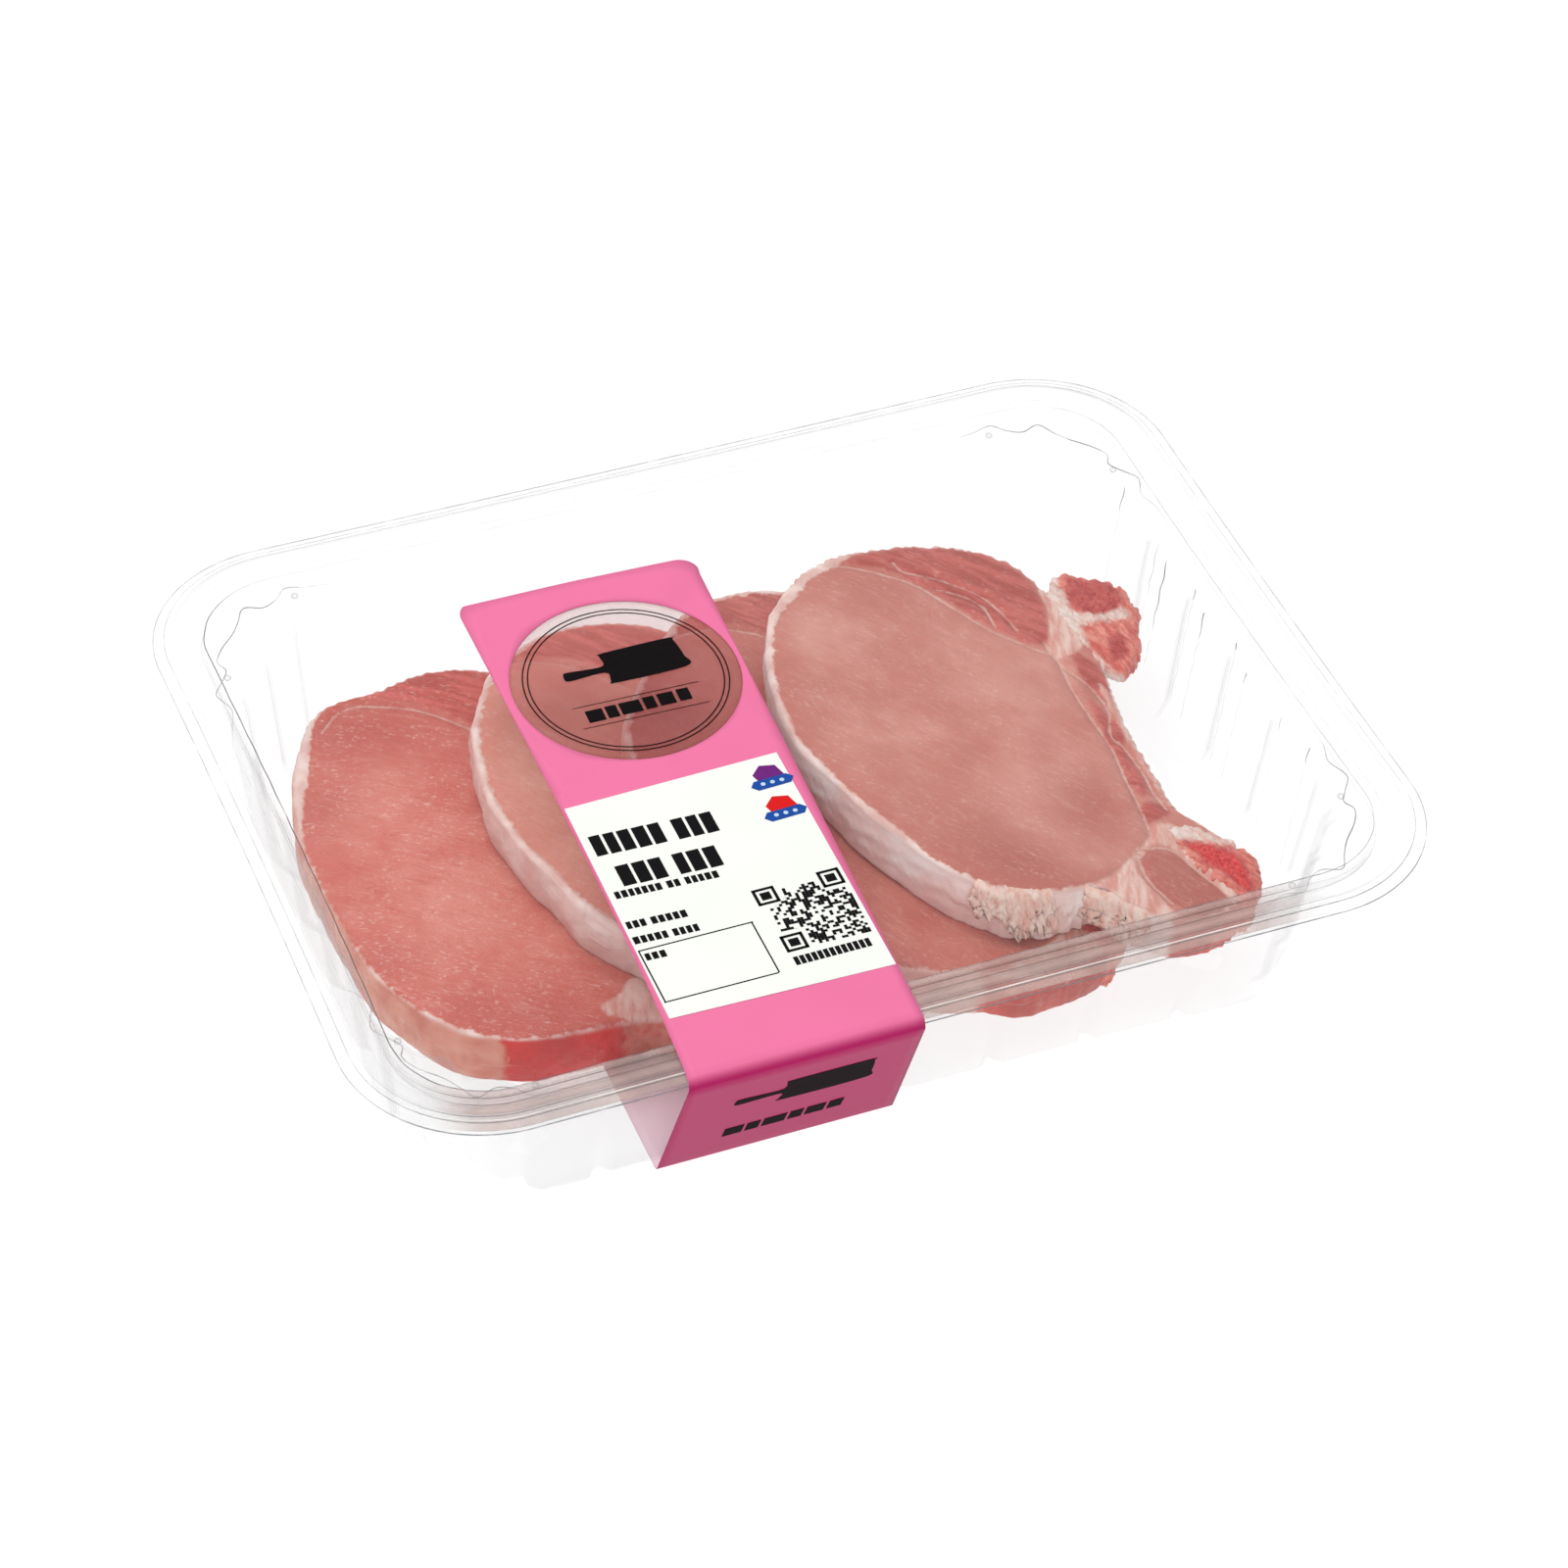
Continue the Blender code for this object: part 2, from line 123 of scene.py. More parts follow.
# print: X, distance from the label's or panel's start, width and height of plain blocks
PRINT_THICK = 0.04
PANEL_TOP = 0.10
WINDOW_BLOCKS = ((-11.4, 3.6), (-7.2, 2.4), (-4.2, 4.4), (0.9, 2.4), (4.0, 3.4), (8.2, 2.6))
FLAP_BLOCKS = ((-13.0, 4.0), (-8.3, 2.8), (-4.8, 4.8), (0.7, 2.8), (4.2, 4.0), (8.9, 3.0))
PANEL_CORNERS = ((-49.9, 10.4), (-50.9, 72.2), (-4.9, 73.4), (-4.3, 9.2))
PANEL_FRAME = (
    (-50.1, 53.0, 23.6, 0.3), (-50.3, 67.7, 23.4, 0.3), (-50.2, 53.0, 0.3, 14.8), (-26.9, 53.0, 0.3, 14.8),
)
# rows of blocks: X, distance, height, width, gap, and how many blocks each group has
PANEL_ROWS = (
    (-48.4, 19.6, 5.9, 2.55, 0.62, (5, 3)), (-46.4, 29.2, 5.9, 2.55, 0.62, (3, 3)),
    (-49.0, 36.1, 2.0, 1.12, 0.36, (7, 2, 5)), (-49.8, 44.8, 2.0, 1.12, 0.36, (3, 5)),
    (-50.0, 49.2, 2.0, 1.12, 0.36, (5, 4)), (-49.4, 54.2, 1.9, 1.1, 0.4, (3,)),
)
CODE_SIZE = 16.0
CODE_CELLS = 25
CODE_SEED = 7
CODE_CORNERS = ((-21.5, 47.3), (-7.7, 46.8), (-21.0, 61.1))
CODE_CORNER_BARS = (
    (-2.3, -2.3, 4.6, 0.65), (-2.3, 1.65, 4.6, 0.65), (-2.3, -2.3, 0.65, 4.6), (1.65, -2.3, 0.65, 4.6),
    (-1.05, -1.05, 2.1, 2.1),
)

# painted shade: darker pink of the folded front, standing in for the shade that the front falls in
FLAP_SHADE_COLOUR = (0.376, 0.005, 0.093)

# light that a level face gets, where 1 shows white paint as full white
TOP_LIGHT = 1.25

# the stack of chops: each lies on the one before
CHOP_THICK = 12.3
STEP_ON_CHOP = 0.06


# points of a smooth line between two of its given points
SPLINE_STEPS = 24


# ---------------------------------------------------------------- small tools

def metres(points):
    """Tray plan in millimetres to the frame in metres."""
    out = np.array(points, dtype=float)
    out[..., 1] += RIM_MIDDLE_Y
    return out * MM


def blend(low, high, part):
    """The value a part of the way from low to high."""
    return low + (high - low) * part


def smooth(low, high, value):
    """0 before low, 1 after high and an even slope between; turned round if high is below low."""
    part = np.clip((value - low) / (high - low), 0.0, 1.0)
    return part * part * (3.0 - 2.0 * part)


def paint(red, green, blue):
    """Paint that shows as this screen colour, 0 to 255, on a level face under the scene's light."""
    values = []
    for level in (red, green, blue):
        level = level / 255.0
        seen = level / 12.92 if level <= 0.04045 else ((level + 0.055) / 1.055) ** 2.4
        values.append(seen / TOP_LIGHT)
    return tuple(values)


def toned(colour, share, lift=0.0):
    """A colour made darker or lighter by a share."""
    return tuple(channel * share + lift for channel in colour)


def between(first, second, part):
    """A colour a part of the way from the first to the second."""
    return tuple(blend(a, b, part) for a, b in zip(first, second))


def wave_noise(points, scale, seed, octaves=3):
    """Smooth repeatable unevenness, about -1 to 1, from crossed sine waves."""
    rng = np.random.RandomState(seed)
    total = np.zeros(len(points))
    weight = 1.0
    norm = 0.0
    for octave in range(octaves):
        for wave in range(4):
            direction = rng.normal(size=points.shape[1])
            direction /= np.linalg.norm(direction)
            phase = rng.uniform(0.0, 2.0 * math.pi)
            total += weight * np.sin(points @ direction * (2.0 * math.pi / scale) + phase)
        norm += weight * 2.0
        weight *= 0.55
        scale *= 0.47
    return total / norm


def closed_curve(points, count):
    """Smooth closed line through points, evenly spaced along its length."""
    base = np.array(points, dtype=float)
    size = len(base)
    dense = []
    for place in range(size):
        p0, p1, p2, p3 = (base[(place + step) % size] for step in (-1, 0, 1, 2))
        for share in np.linspace(0.0, 1.0, SPLINE_STEPS, endpoint=False):
            dense.append(spline_point(p0, p1, p2, p3, share))
    dense = np.array(dense)
    return even_spacing(np.vstack([dense, dense[:1]]), count, closed=True)


def open_curve(points, count):
    """Smooth open line through points, evenly spaced along its length."""
    base = np.array(points, dtype=float)
    ends = np.vstack([2.0 * base[0] - base[1], base, 2.0 * base[-1] - base[-2]])
    dense = []
    for place in range(1, len(ends) - 2):
        for share in np.linspace(0.0, 1.0, SPLINE_STEPS, endpoint=False):
            dense.append(spline_point(*ends[place - 1:place + 3], share))
    dense.append(base[-1])
    return even_spacing(np.array(dense), count, closed=False)


def spline_point(p0, p1, p2, p3, share):
    """Catmull-Rom point between p1 and p2."""
    cube = -p0 + 3.0 * p1 - 3.0 * p2 + p3
    square = 2.0 * p0 - 5.0 * p1 + 4.0 * p2 - p3
    return 0.5 * (2.0 * p1 + (p2 - p0) * share + square * share ** 2 + cube * share ** 3)


def even_spacing(line, count, closed):
    """The line again with its points the same distance apart."""
    steps = np.linalg.norm(np.diff(line, axis=0), axis=1)
    along = np.concatenate([[0.0], np.cumsum(steps)])
    places = np.linspace(0.0, along[-1], count, endpoint=not closed)
    return np.stack([np.interp(places, along, line[:, axis]) for axis in range(line.shape[1])], axis=1)


def distance_to_line(points, line):
    """Least distance from each point to a line of points in the plan."""
    best = np.full(len(points), 1e9)
    for start, end in zip(line[:-1], line[1:]):
        run = end - start
        share = np.clip(((points - start) @ run) / max(run @ run, 1e-12), 0.0, 1.0)
        best = np.minimum(best, np.linalg.norm(points - start - share[:, None] * run, axis=1))
    return best


def inside_distance(points, outline):
    """Distance to a closed outline, above 0 inside it."""
    closed = np.vstack([outline, outline[:1]])
    inside = np.zeros(len(points), dtype=bool)
    for (x0, y0), (x1, y1) in zip(closed[:-1], closed[1:]):
        crosses = (y0 > points[:, 1]) != (y1 > points[:, 1])
        if y1 != y0:
            inside ^= crosses & (points[:, 0] < (x1 - x0) * (points[:, 1] - y0) / (y1 - y0) + x0)
    distance = distance_to_line(points, closed)
    return np.where(inside, distance, -distance)


def grid_faces(rows, columns, closed_columns=True):
    """Quads of a grid stored row by row."""
    across = columns if closed_columns else columns - 1
    low = np.arange(rows - 1)[:, None] * columns
    here = np.arange(across)[None, :]
    after = (here + 1) % columns
    quads = np.stack([low + here, low + after, low + columns + after, low + columns + here], axis=-1)
    return quads.reshape(-1, 4).tolist()


def fan(first, count, tip, turned=False):
    """Triangles that close a ring of points with one point."""
    sides = [(first + place, first + (place + 1) % count) for place in range(count)]
    return [[after, here, tip] if turned else [here, after, tip] for here, after in sides]


def ring(plan, height):
    """Plan points at a height."""
    return np.column_stack([plan, np.full(len(plan), height) if np.isscalar(height) else height])


def drawn_in(outline, middle, share):
    """An outline drawn in or out about its middle by a share, one for all points or one for each."""
    return middle + (outline - middle) * np.reshape(share, (-1, 1))


def close_slab(rows, top, bottom):
    """Points and faces of a solid from closed rows, drawn together to a top and a bottom point."""
    around = len(rows[0])
    count = len(rows) * around
    faces = [face[::-1] for face in grid_faces(len(rows), around)]
    faces += fan(0, around, count) + fan(count - around, around, count + 1, turned=True)
    return np.vstack(rows + [[top], [bottom]]), faces


def link_object(name, data):
    """A new object in the scene."""
    made = bpy.data.objects.new(name, data)
    bpy.context.scene.collection.objects.link(made)
    return made


def give_field(mesh, field, values):
    """A number for each vertex, which the finish reads by its name."""
    layer = mesh.attributes.new(field, "FLOAT", "POINT")
    layer.data.foreach_set("value", np.asarray(values, dtype=np.float32))


def smooth_shade(mesh):
    """Rounds off the look of all faces."""
    mesh.polygons.foreach_set("use_smooth", [True] * len(mesh.polygons))


def make_piece(name, points, faces, material, fields=None, solid=0.0):
    """A mesh object at the origin, its place in its mesh; solid gives an open sheet its wall."""
    mesh = bpy.data.meshes.new(name)
    mesh.from_pydata(metres(points).tolist(), [], faces)
    for field, values in (fields or {}).items():
        give_field(mesh, field, values)
    mesh.materials.append(material)
    smooth_shade(mesh)
    mesh.update()
    piece = link_object(name, mesh)
    if solid:
        give_wall(piece, solid)
    return piece


def give_wall(piece, thick, back_material=0):
    """Turns an open sheet into a thin solid below its faces."""
    wall = piece.modifiers.new("wall", "SOLIDIFY")
    wall.thickness = thick * MM
    wall.offset = -1.0
    wall.use_even_offset = False
    wall.material_offset = back_material
    bake_modifiers(piece)


def face_outward(piece):
    """Turns every face of a closed piece outward."""
    bm = bmesh.new()
    bm.from_mesh(piece.data)
    bmesh.ops.recalc_face_normals(bm, faces=bm.faces)
    bm.to_mesh(piece.data)
    bm.free()


def bake_modifiers(piece):
    """The piece's evaluated shape becomes its own plain mesh."""
    graph = bpy.context.evaluated_depsgraph_get()
    plain = bpy.data.meshes.new_from_object(piece.evaluated_get(graph), depsgraph=graph)
    piece.modifiers.clear()
    old = piece.data
    piece.data = plain
    bpy.data.meshes.remove(old)


def attach(piece, slot, *nodes):
    """Puts a piece on the pack's one body and hides the solids that it replaces; slot is not used."""
    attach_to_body(piece, "root")
    if nodes:
        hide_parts(*nodes)
    return piece


# ---------------------------------------------------------------- shader tools

class Value:
    """A number socket that takes Python's operators."""

    def __init__(self, tree, socket):
        self.tree = tree
        self.socket = socket

    def math(self, operation, first, second, clamp=False):
        """One sum of two numbers or sockets."""
        node = self.tree.nodes.new("ShaderNodeMath")
        node.operation = operation
        node.use_clamp = clamp
        for place, item in enumerate((first, second)):
            if isinstance(item, Value):
                self.tree.links.new(item.socket, node.inputs[place])
            else:
                node.inputs[place].default_value = item
        return Value(self.tree, node.outputs[0])

    def __add__(self, other):
        return self.math("ADD", self, other)

    __radd__ = __add__

    def __sub__(self, other):
        return self.math("SUBTRACT", self, other)

    def __rsub__(self, other):
        return self.math("SUBTRACT", other, self)

    def __mul__(self, other):
        return self.math("MULTIPLY", self, other)

    __rmul__ = __mul__

    def __pow__(self, other):
        return self.math("POWER", self, other)

    def clamp(self):
        """Held between 0 and 1."""
        return self.math("ADD", self, 0.0, clamp=True)

    def step(self, low, high):
        """0 below low, 1 above high, smooth between."""
        node = self.tree.nodes.new("ShaderNodeMapRange")
        node.interpolation_type = "SMOOTHSTEP"
        self.tree.links.new(self.socket, node.inputs["Value"])
        node.inputs["From Min"].default_value = low
        node.inputs["From Max"].default_value = high
        return Value(self.tree, node.outputs[0])


class Finish:
    """A material being made, with its Principled shader and one method for other nodes."""

    def __init__(self, name, **values):
        self.material = bpy.data.materials.new(name)
        self.material.use_nodes = True
        self.tree = self.material.node_tree
        self.shader = self.tree.nodes["Principled BSDF"]
        for socket, value in values.items():
            self.set(socket.replace("_", " "), value)

    def give(self, target, value):
        """Gives a socket a link or a constant."""
        value = getattr(value, "socket", value)
        if isinstance(value, bpy.types.NodeSocket):
            self.tree.links.new(value, target)
        elif isinstance(value, tuple) and target.type == "RGBA":
            target.default_value = (*value[:3], 1.0)
        else:
            target.default_value = value

    def set(self, socket, value):
        """Gives a socket of the Principled shader its value or link."""
        self.give(self.shader.inputs[socket], value)

    def flesh(self, weight, radius, scale):
        """Light that enters the surface and comes out redder."""
        self.set("Subsurface Weight", weight)
        self.set("Subsurface Radius", radius)
        self.set("Subsurface Scale", scale)

    def node(self, kind, settings=None, values=None, out=0):
        """Any other node: its settings first, then its sockets' values or links."""
        made = self.tree.nodes.new(kind)
        for name, setting in (settings or {}).items():
            setattr(made, name, setting)
        for name, value in (values or {}).items():
            self.give(made.inputs[name], value)
        return made.outputs[out]

    def value(self, *args, **kwargs):
        """A node whose output is a number to reckon with."""
        return Value(self.tree, self.node(*args, **kwargs))

    def place(self):
        """Object coordinates, the same for every piece."""
        return self.node("ShaderNodeTexCoord", out="Object")

    def stretched(self, scale, turn=0.0):
        """Object coordinates turned about Z, then times a scale for each axis."""
        spread = tuple(1.0 / share for share in scale)
        values = {"Vector": self.place(), "Scale": spread, "Rotation": (0.0, 0.0, turn)}
        return self.node("ShaderNodeMapping", {"vector_type": "TEXTURE"}, values)

    def noise(self, scale, detail=2.0, vector=None, rough=0.5):
        """Noise from 0 to 1 over the piece."""
        values = {"Vector": vector or self.place(), "Scale": scale, "Detail": detail, "Roughness": rough}
        return self.value("ShaderNodeTexNoise", values=values)

    def field(self, name):
        """A number that the mesh carries at each vertex."""
        return self.value("ShaderNodeAttribute", {"attribute_name": name}, out="Fac")

    def facing(self):
        """0 face on, towards 1 where the surface is seen along itself."""
        return self.value("ShaderNodeLayerWeight", values={"Blend": 0.5}, out="Facing")

    def mix(self, share, first, second):
        """Colour between two colours."""
        made = self.tree.nodes.new("ShaderNodeMix")
        made.data_type = "RGBA"
        for name, value in (("Factor", share), ("A", first), ("B", second)):
            shown = [socket for socket in made.inputs if socket.name == name and socket.enabled]
            self.give(shown[0], value)
        return [socket for socket in made.outputs if socket.enabled][0]

    def bump(self, height, distance, strength):
        """Fine relief."""
        values = {"Height": height, "Distance": distance, "Strength": strength}
        self.set("Normal", self.node("ShaderNodeBump", values=values))


# ---------------------------------------------------------------- finishes

def clear_sheet(name, body, edge, most, haze, rough, grey, with_painted_shade=False):
    """Clear plastic: see-through face on, and greyer where it is seen along its surface."""
    finish = Finish(name, Base_Color=grey, Roughness=rough, IOR=1.5)
    streak = finish.noise(38.0, 3.0)
    cover = (finish.facing() ** edge) * most + body + (streak - 0.5) * haze
    if with_painted_shade:
        # painted shade: the dense field makes the front wall darker at its left and lighter at its right
        cover = cover + finish.field("dense")
    finish.set("Alpha", cover.clamp())
    return finish.material


def painted_edge_line(name, grey):
    """Edge of formed plastic: a thin painted dark line, standing in for the dark line that refraction and
    reflection give at the bend, whose strength the mesh carries.
    """
    finish = Finish(name, Base_Color=grey, Roughness=0.3)
    finish.set("Specular IOR Level", 0.1)
    broken = finish.noise(160.0, 3.0)
    finish.set("Alpha", (finish.field("tone") * (broken.step(0.25, 0.62) * 0.7 + 0.3)).clamp())
    return finish.material


def seal_strip(name, cover, speckled, clean, warm, painted_meat_cover):
    """A strip of the heat-sealed flange, with the meat's colour painted in where the meat shows through it
    by refraction, warmer and denser there.
    """
    finish = Finish(name, Roughness=0.3)
    finish.set("Specular IOR Level", 0.25)
    speckle = finish.noise(2300.0, 2.0)
    patches = finish.noise(120.0, 3.0)
    near = finish.field("warm")
    painted_meat_tone = finish.mix(patches.step(0.35, 0.65), toned(warm, 0.86), toned(warm, 1.1))
    finish.set("Base Color", finish.mix(near, clean, painted_meat_tone))
    grain = (speckle - 0.5) * speckled + (patches - 0.5) * (speckled * 0.5)
    finish.set("Alpha", (near * painted_meat_cover + cover + grain).clamp() * finish.field("share") * 0.9)
    return finish.material


def printed_paper(name, colour, rough, grain, shaded=None):
    """Coated paper, slightly mottled; shaded is the painted shade colour of its folded front."""
    finish = Finish(name, Roughness=rough)
    finish.set("Specular IOR Level", 0.12)
    mottle = finish.noise(55.0, 4.0)
    fibre = finish.noise(1400.0, 2.0)
    lighter = tuple(min(1.0, channel) for channel in toned(colour, 1.0 + grain * 2.0))
    tone = finish.mix(mottle.step(0.3, 0.7), toned(colour, 1.0 - grain * 2.0), lighter)
    if shaded:
        # painted shade: the flap field turns the paper to the shaded colour over the folded front
        tone = finish.mix(finish.field("flap"), tone, shaded)
    finish.set("Base Color", tone)
    finish.bump(fibre, 0.00003, 0.4)
    return finish.material


def ink(name, colour):
    """Flat printed colour, a little worn."""
    finish = Finish(name, Roughness=0.7)
    finish.set("Specular IOR Level", 0.03)
    wear = finish.noise(900.0, 3.0)
    finish.set("Base Color", finish.mix(wear.step(0.35, 0.8), colour, toned(colour, 0.85, 0.002)))
    return finish.material


def window_film():
    """Tinted clear window in the label."""
    finish = Finish("window_film", Base_Color=(0.40, 0.07, 0.07), Roughness=0.22, IOR=1.5)
    ripple = finish.noise(60.0, 2.0, finish.stretched((0.35, 1.6, 1.0), 0.2))
    finish.set("Alpha", (0.20 + (finish.facing() ** 3.0) * 0.3 + ripple.step(0.62, 0.75) * 0.07).clamp())
    return finish.material


def raw_meat(name, pale, deep, red, wall_low, wall_high, wall_red, wet, turn):
    """Cut pork: lean with fine fibres, white seams, fat rim and redder muscles, with a painted sheen and
    painted wet glints.
    """
    finish = Finish(name, Roughness=0.4, IOR=1.4)
    finish.flesh(0.10, (1.0, 0.35, 0.25), 0.0025)
    edge = finish.field("edge")
    rough_line = finish.noise(520.0, 4.0, rough=0.6) - 0.5
    broad = finish.noise(38.0, 3.0)
    medium = finish.noise(170.0, 4.0)
    fine = finish.noise(1500.0, 3.0, rough=0.65)
    grain = finish.noise(900.0, 3.0, finish.stretched((1.0, 0.16, 0.6), turn))
    glint_noise = finish.noise(1900.0, 2.0, finish.stretched((1.0, 0.42, 1.0), turn + 0.1))
    string = finish.noise(420.0, 4.0, finish.stretched((1.0, 0.12, 0.6), 0.87), rough=0.6)
    lean = finish.mix((broad + medium * 0.4 - 0.2).step(0.26, 0.74), deep, pale)
    margin = 1.0 - (edge + rough_line * 4.0).step(1.0, 9.5)
    lean = finish.mix(margin * 0.5, lean, between(deep, red, 0.35))
    lean = finish.mix(finish.field("shade") * 0.85, lean, toned(between(deep, red, 0.5), 0.86))
    # painted sheen: lighter streaks along the grain
    lean = finish.mix(grain.step(0.52, 0.74) * 0.16, lean, paint(240, 190, 176))
    lean = finish.mix(grain.step(0.48, 0.30) * 0.14, lean, toned(deep, 0.78))
    red_share = (finish.field("red") + rough_line * 2.2).step(-0.8, 0.8)
    red_tone = finish.mix(string.step(0.40, 0.62), toned(red, 0.86), toned(red, 1.12, 0.04))
    lean = finish.mix(red_share * 0.92, lean, red_tone)
    seam_line = 1.0 - (finish.field("seam") + rough_line).step(0.08, 0.55)
    lean = finish.mix((seam_line * (0.10 + medium * 0.8)).clamp(), lean, paint(240, 204, 192))
    # painted glints: short pale dashes along the grain, standing in for wet highlights, stronger with
    # wetness
    painted_glint = glint_noise.step(0.56, 0.68) * (medium * 0.8 + fine * 0.5).step(0.42, 0.85)
    lean = finish.mix(painted_glint * (0.16 + 0.20 * wet), lean, paint(255, 226, 216))
    rim_line = (finish.field("rim") - edge - rough_line * 2.6).step(-0.35, 0.55)
    fat = finish.mix(medium.step(0.35, 0.68), paint(232, 188, 178), paint(255, 236, 228))
    skin = finish.mix(rim_line * 0.9, lean, fat)
    fat_share = (finish.field("fat") + rough_line * 1.8).step(-0.5, 0.6)
    strand = finish.noise(560.0, 4.0, finish.stretched((1.0, 0.2, 0.6), -0.35), rough=0.6)
    fat_tone = finish.mix(strand.step(0.34, 0.68), paint(222, 150, 136), paint(246, 214, 202))
    skin = finish.mix(fat_share * 0.9, skin, fat_tone)
    cloud = finish.noise(90.0, 4.0)
    wall_fat = finish.mix((cloud + (string - 0.5) * 0.25).step(0.32, 0.68), wall_low, wall_high)
    wall_fat = finish.mix(grain.step(0.55, 0.75) * 0.3, wall_fat, wall_low)
    wall_lean = finish.mix(cloud.step(0.3, 0.72), toned(wall_red, 0.85), toned(wall_red, 1.2))
    wall_lean = finish.mix(strand.step(0.62, 0.74) * 0.5, wall_lean, wall_high)
    lean_share = (finish.field("side_red") + (cloud - 0.5) * 0.9 + rough_line * 0.8).step(0.25, 0.75)
    wall = finish.mix(lean_share, wall_fat, wall_lean)
    finish.set("Base Color", finish.mix(finish.field("side"), skin, wall))
    finish.set("Roughness", (fine * 0.3 + grain * 0.3 + 0.10 - wet * 0.06).clamp())
    height = grain * 0.5 + fine * 0.45 + medium + string * 0.8 * red_share - seam_line * 0.6
    finish.bump(height, 0.00032, 0.55 + 0.35 * wet)
    return finish.material


def torn_fat():
    """Creamy fat pulled into flaps and strings."""
    finish = Finish("torn_fat", Roughness=0.3, IOR=1.4)
    finish.flesh(0.12, (1.0, 0.5, 0.35), 0.002)
    strand = finish.noise(620.0, 4.0, finish.stretched((1.0, 1.0, 0.22), 0.3), rough=0.6)
    medium = finish.noise(230.0, 4.0)
    tone = finish.mix(strand.step(0.34, 0.66), paint(238, 184, 168), paint(252, 224, 211))
    finish.set("Base Color", finish.mix(medium.step(0.50, 0.75) * 0.4, tone, paint(234, 160, 146)))
    finish.bump(strand * 1.2 + medium, 0.00025, 0.5)
    return finish.material


def raw_bone():
    """Sawn bone: red marrow in a paler rim, with torn, wet surfaces."""
    finish = Finish("raw_bone", Roughness=0.34, IOR=1.4)
    finish.flesh(0.08, (1.0, 0.3, 0.25), 0.002)
    wobble = finish.noise(380.0, 5.0, rough=0.7) - 0.5
    medium = finish.noise(260.0, 5.0, rough=0.65)
    fine = finish.noise(1500.0, 3.0, rough=0.7)
    torn = finish.noise(620.0, 4.0, finish.stretched((1.0, 0.3, 0.5), 0.5), rough=0.65)
    pink = finish.mix(torn.step(0.32, 0.68), paint(222, 90, 80), paint(252, 160, 142))
    pale = finish.mix(torn.step(0.30, 0.62), paint(238, 180, 166), paint(253, 234, 224))
    rosy = finish.mix((medium * 0.6 + fine * 0.5).step(0.40, 0.70), paint(186, 52, 52), paint(222, 104, 96))
    bright = finish.mix(fine.step(0.4, 0.65), paint(220, 18, 32), paint(244, 92, 82))
    tone = finish.mix((finish.field("pale") + wobble * 5.0).step(-1.2, 1.0), pink, pale)
    tone = finish.mix((finish.field("marrow") + wobble * 4.0).step(-0.9, 0.8), tone, rosy)
    tone = finish.mix((finish.field("bright") + wobble * 4.0).step(-0.6, 0.8), tone, bright)
    finish.set("Base Color", tone)
    finish.set("Roughness", (0.16 + fine * 0.35).clamp())
    finish.bump(medium * 1.4 + fine * 0.6 + torn * 0.8, 0.0008, 0.8)
    return finish.material


def floor_finish():
    """Pale studio floor that glows almost to white."""
    finish = Finish("studio_floor", Roughness=0.9)
    tone = finish.noise(4.0, 3.0)
    finish.set("Base Color", finish.mix(tone, (0.18, 0.18, 0.18), (0.19, 0.19, 0.19)))
    finish.set("Emission Color", (1.0, 1.0, 1.0))
    finish.set("Emission Strength", 0.93)
    finish.set("Specular IOR Level", 0.0)
    return finish.material


# ---------------------------------------------------------------- tray

def pad_rise(x):
    """Height of the arched base above the pads at the tray's two ends."""
    distance = np.clip(PAD_START - np.abs(x), 0.0, None)
    arch = PAD_STEP * smooth(0.0, PAD_SLOPE, distance) + ARCH_RISE * (1.0 - (x / PAD_START) ** 2)
    return np.where(distance > 0.0, np.maximum(arch, 0.0), 0.0)


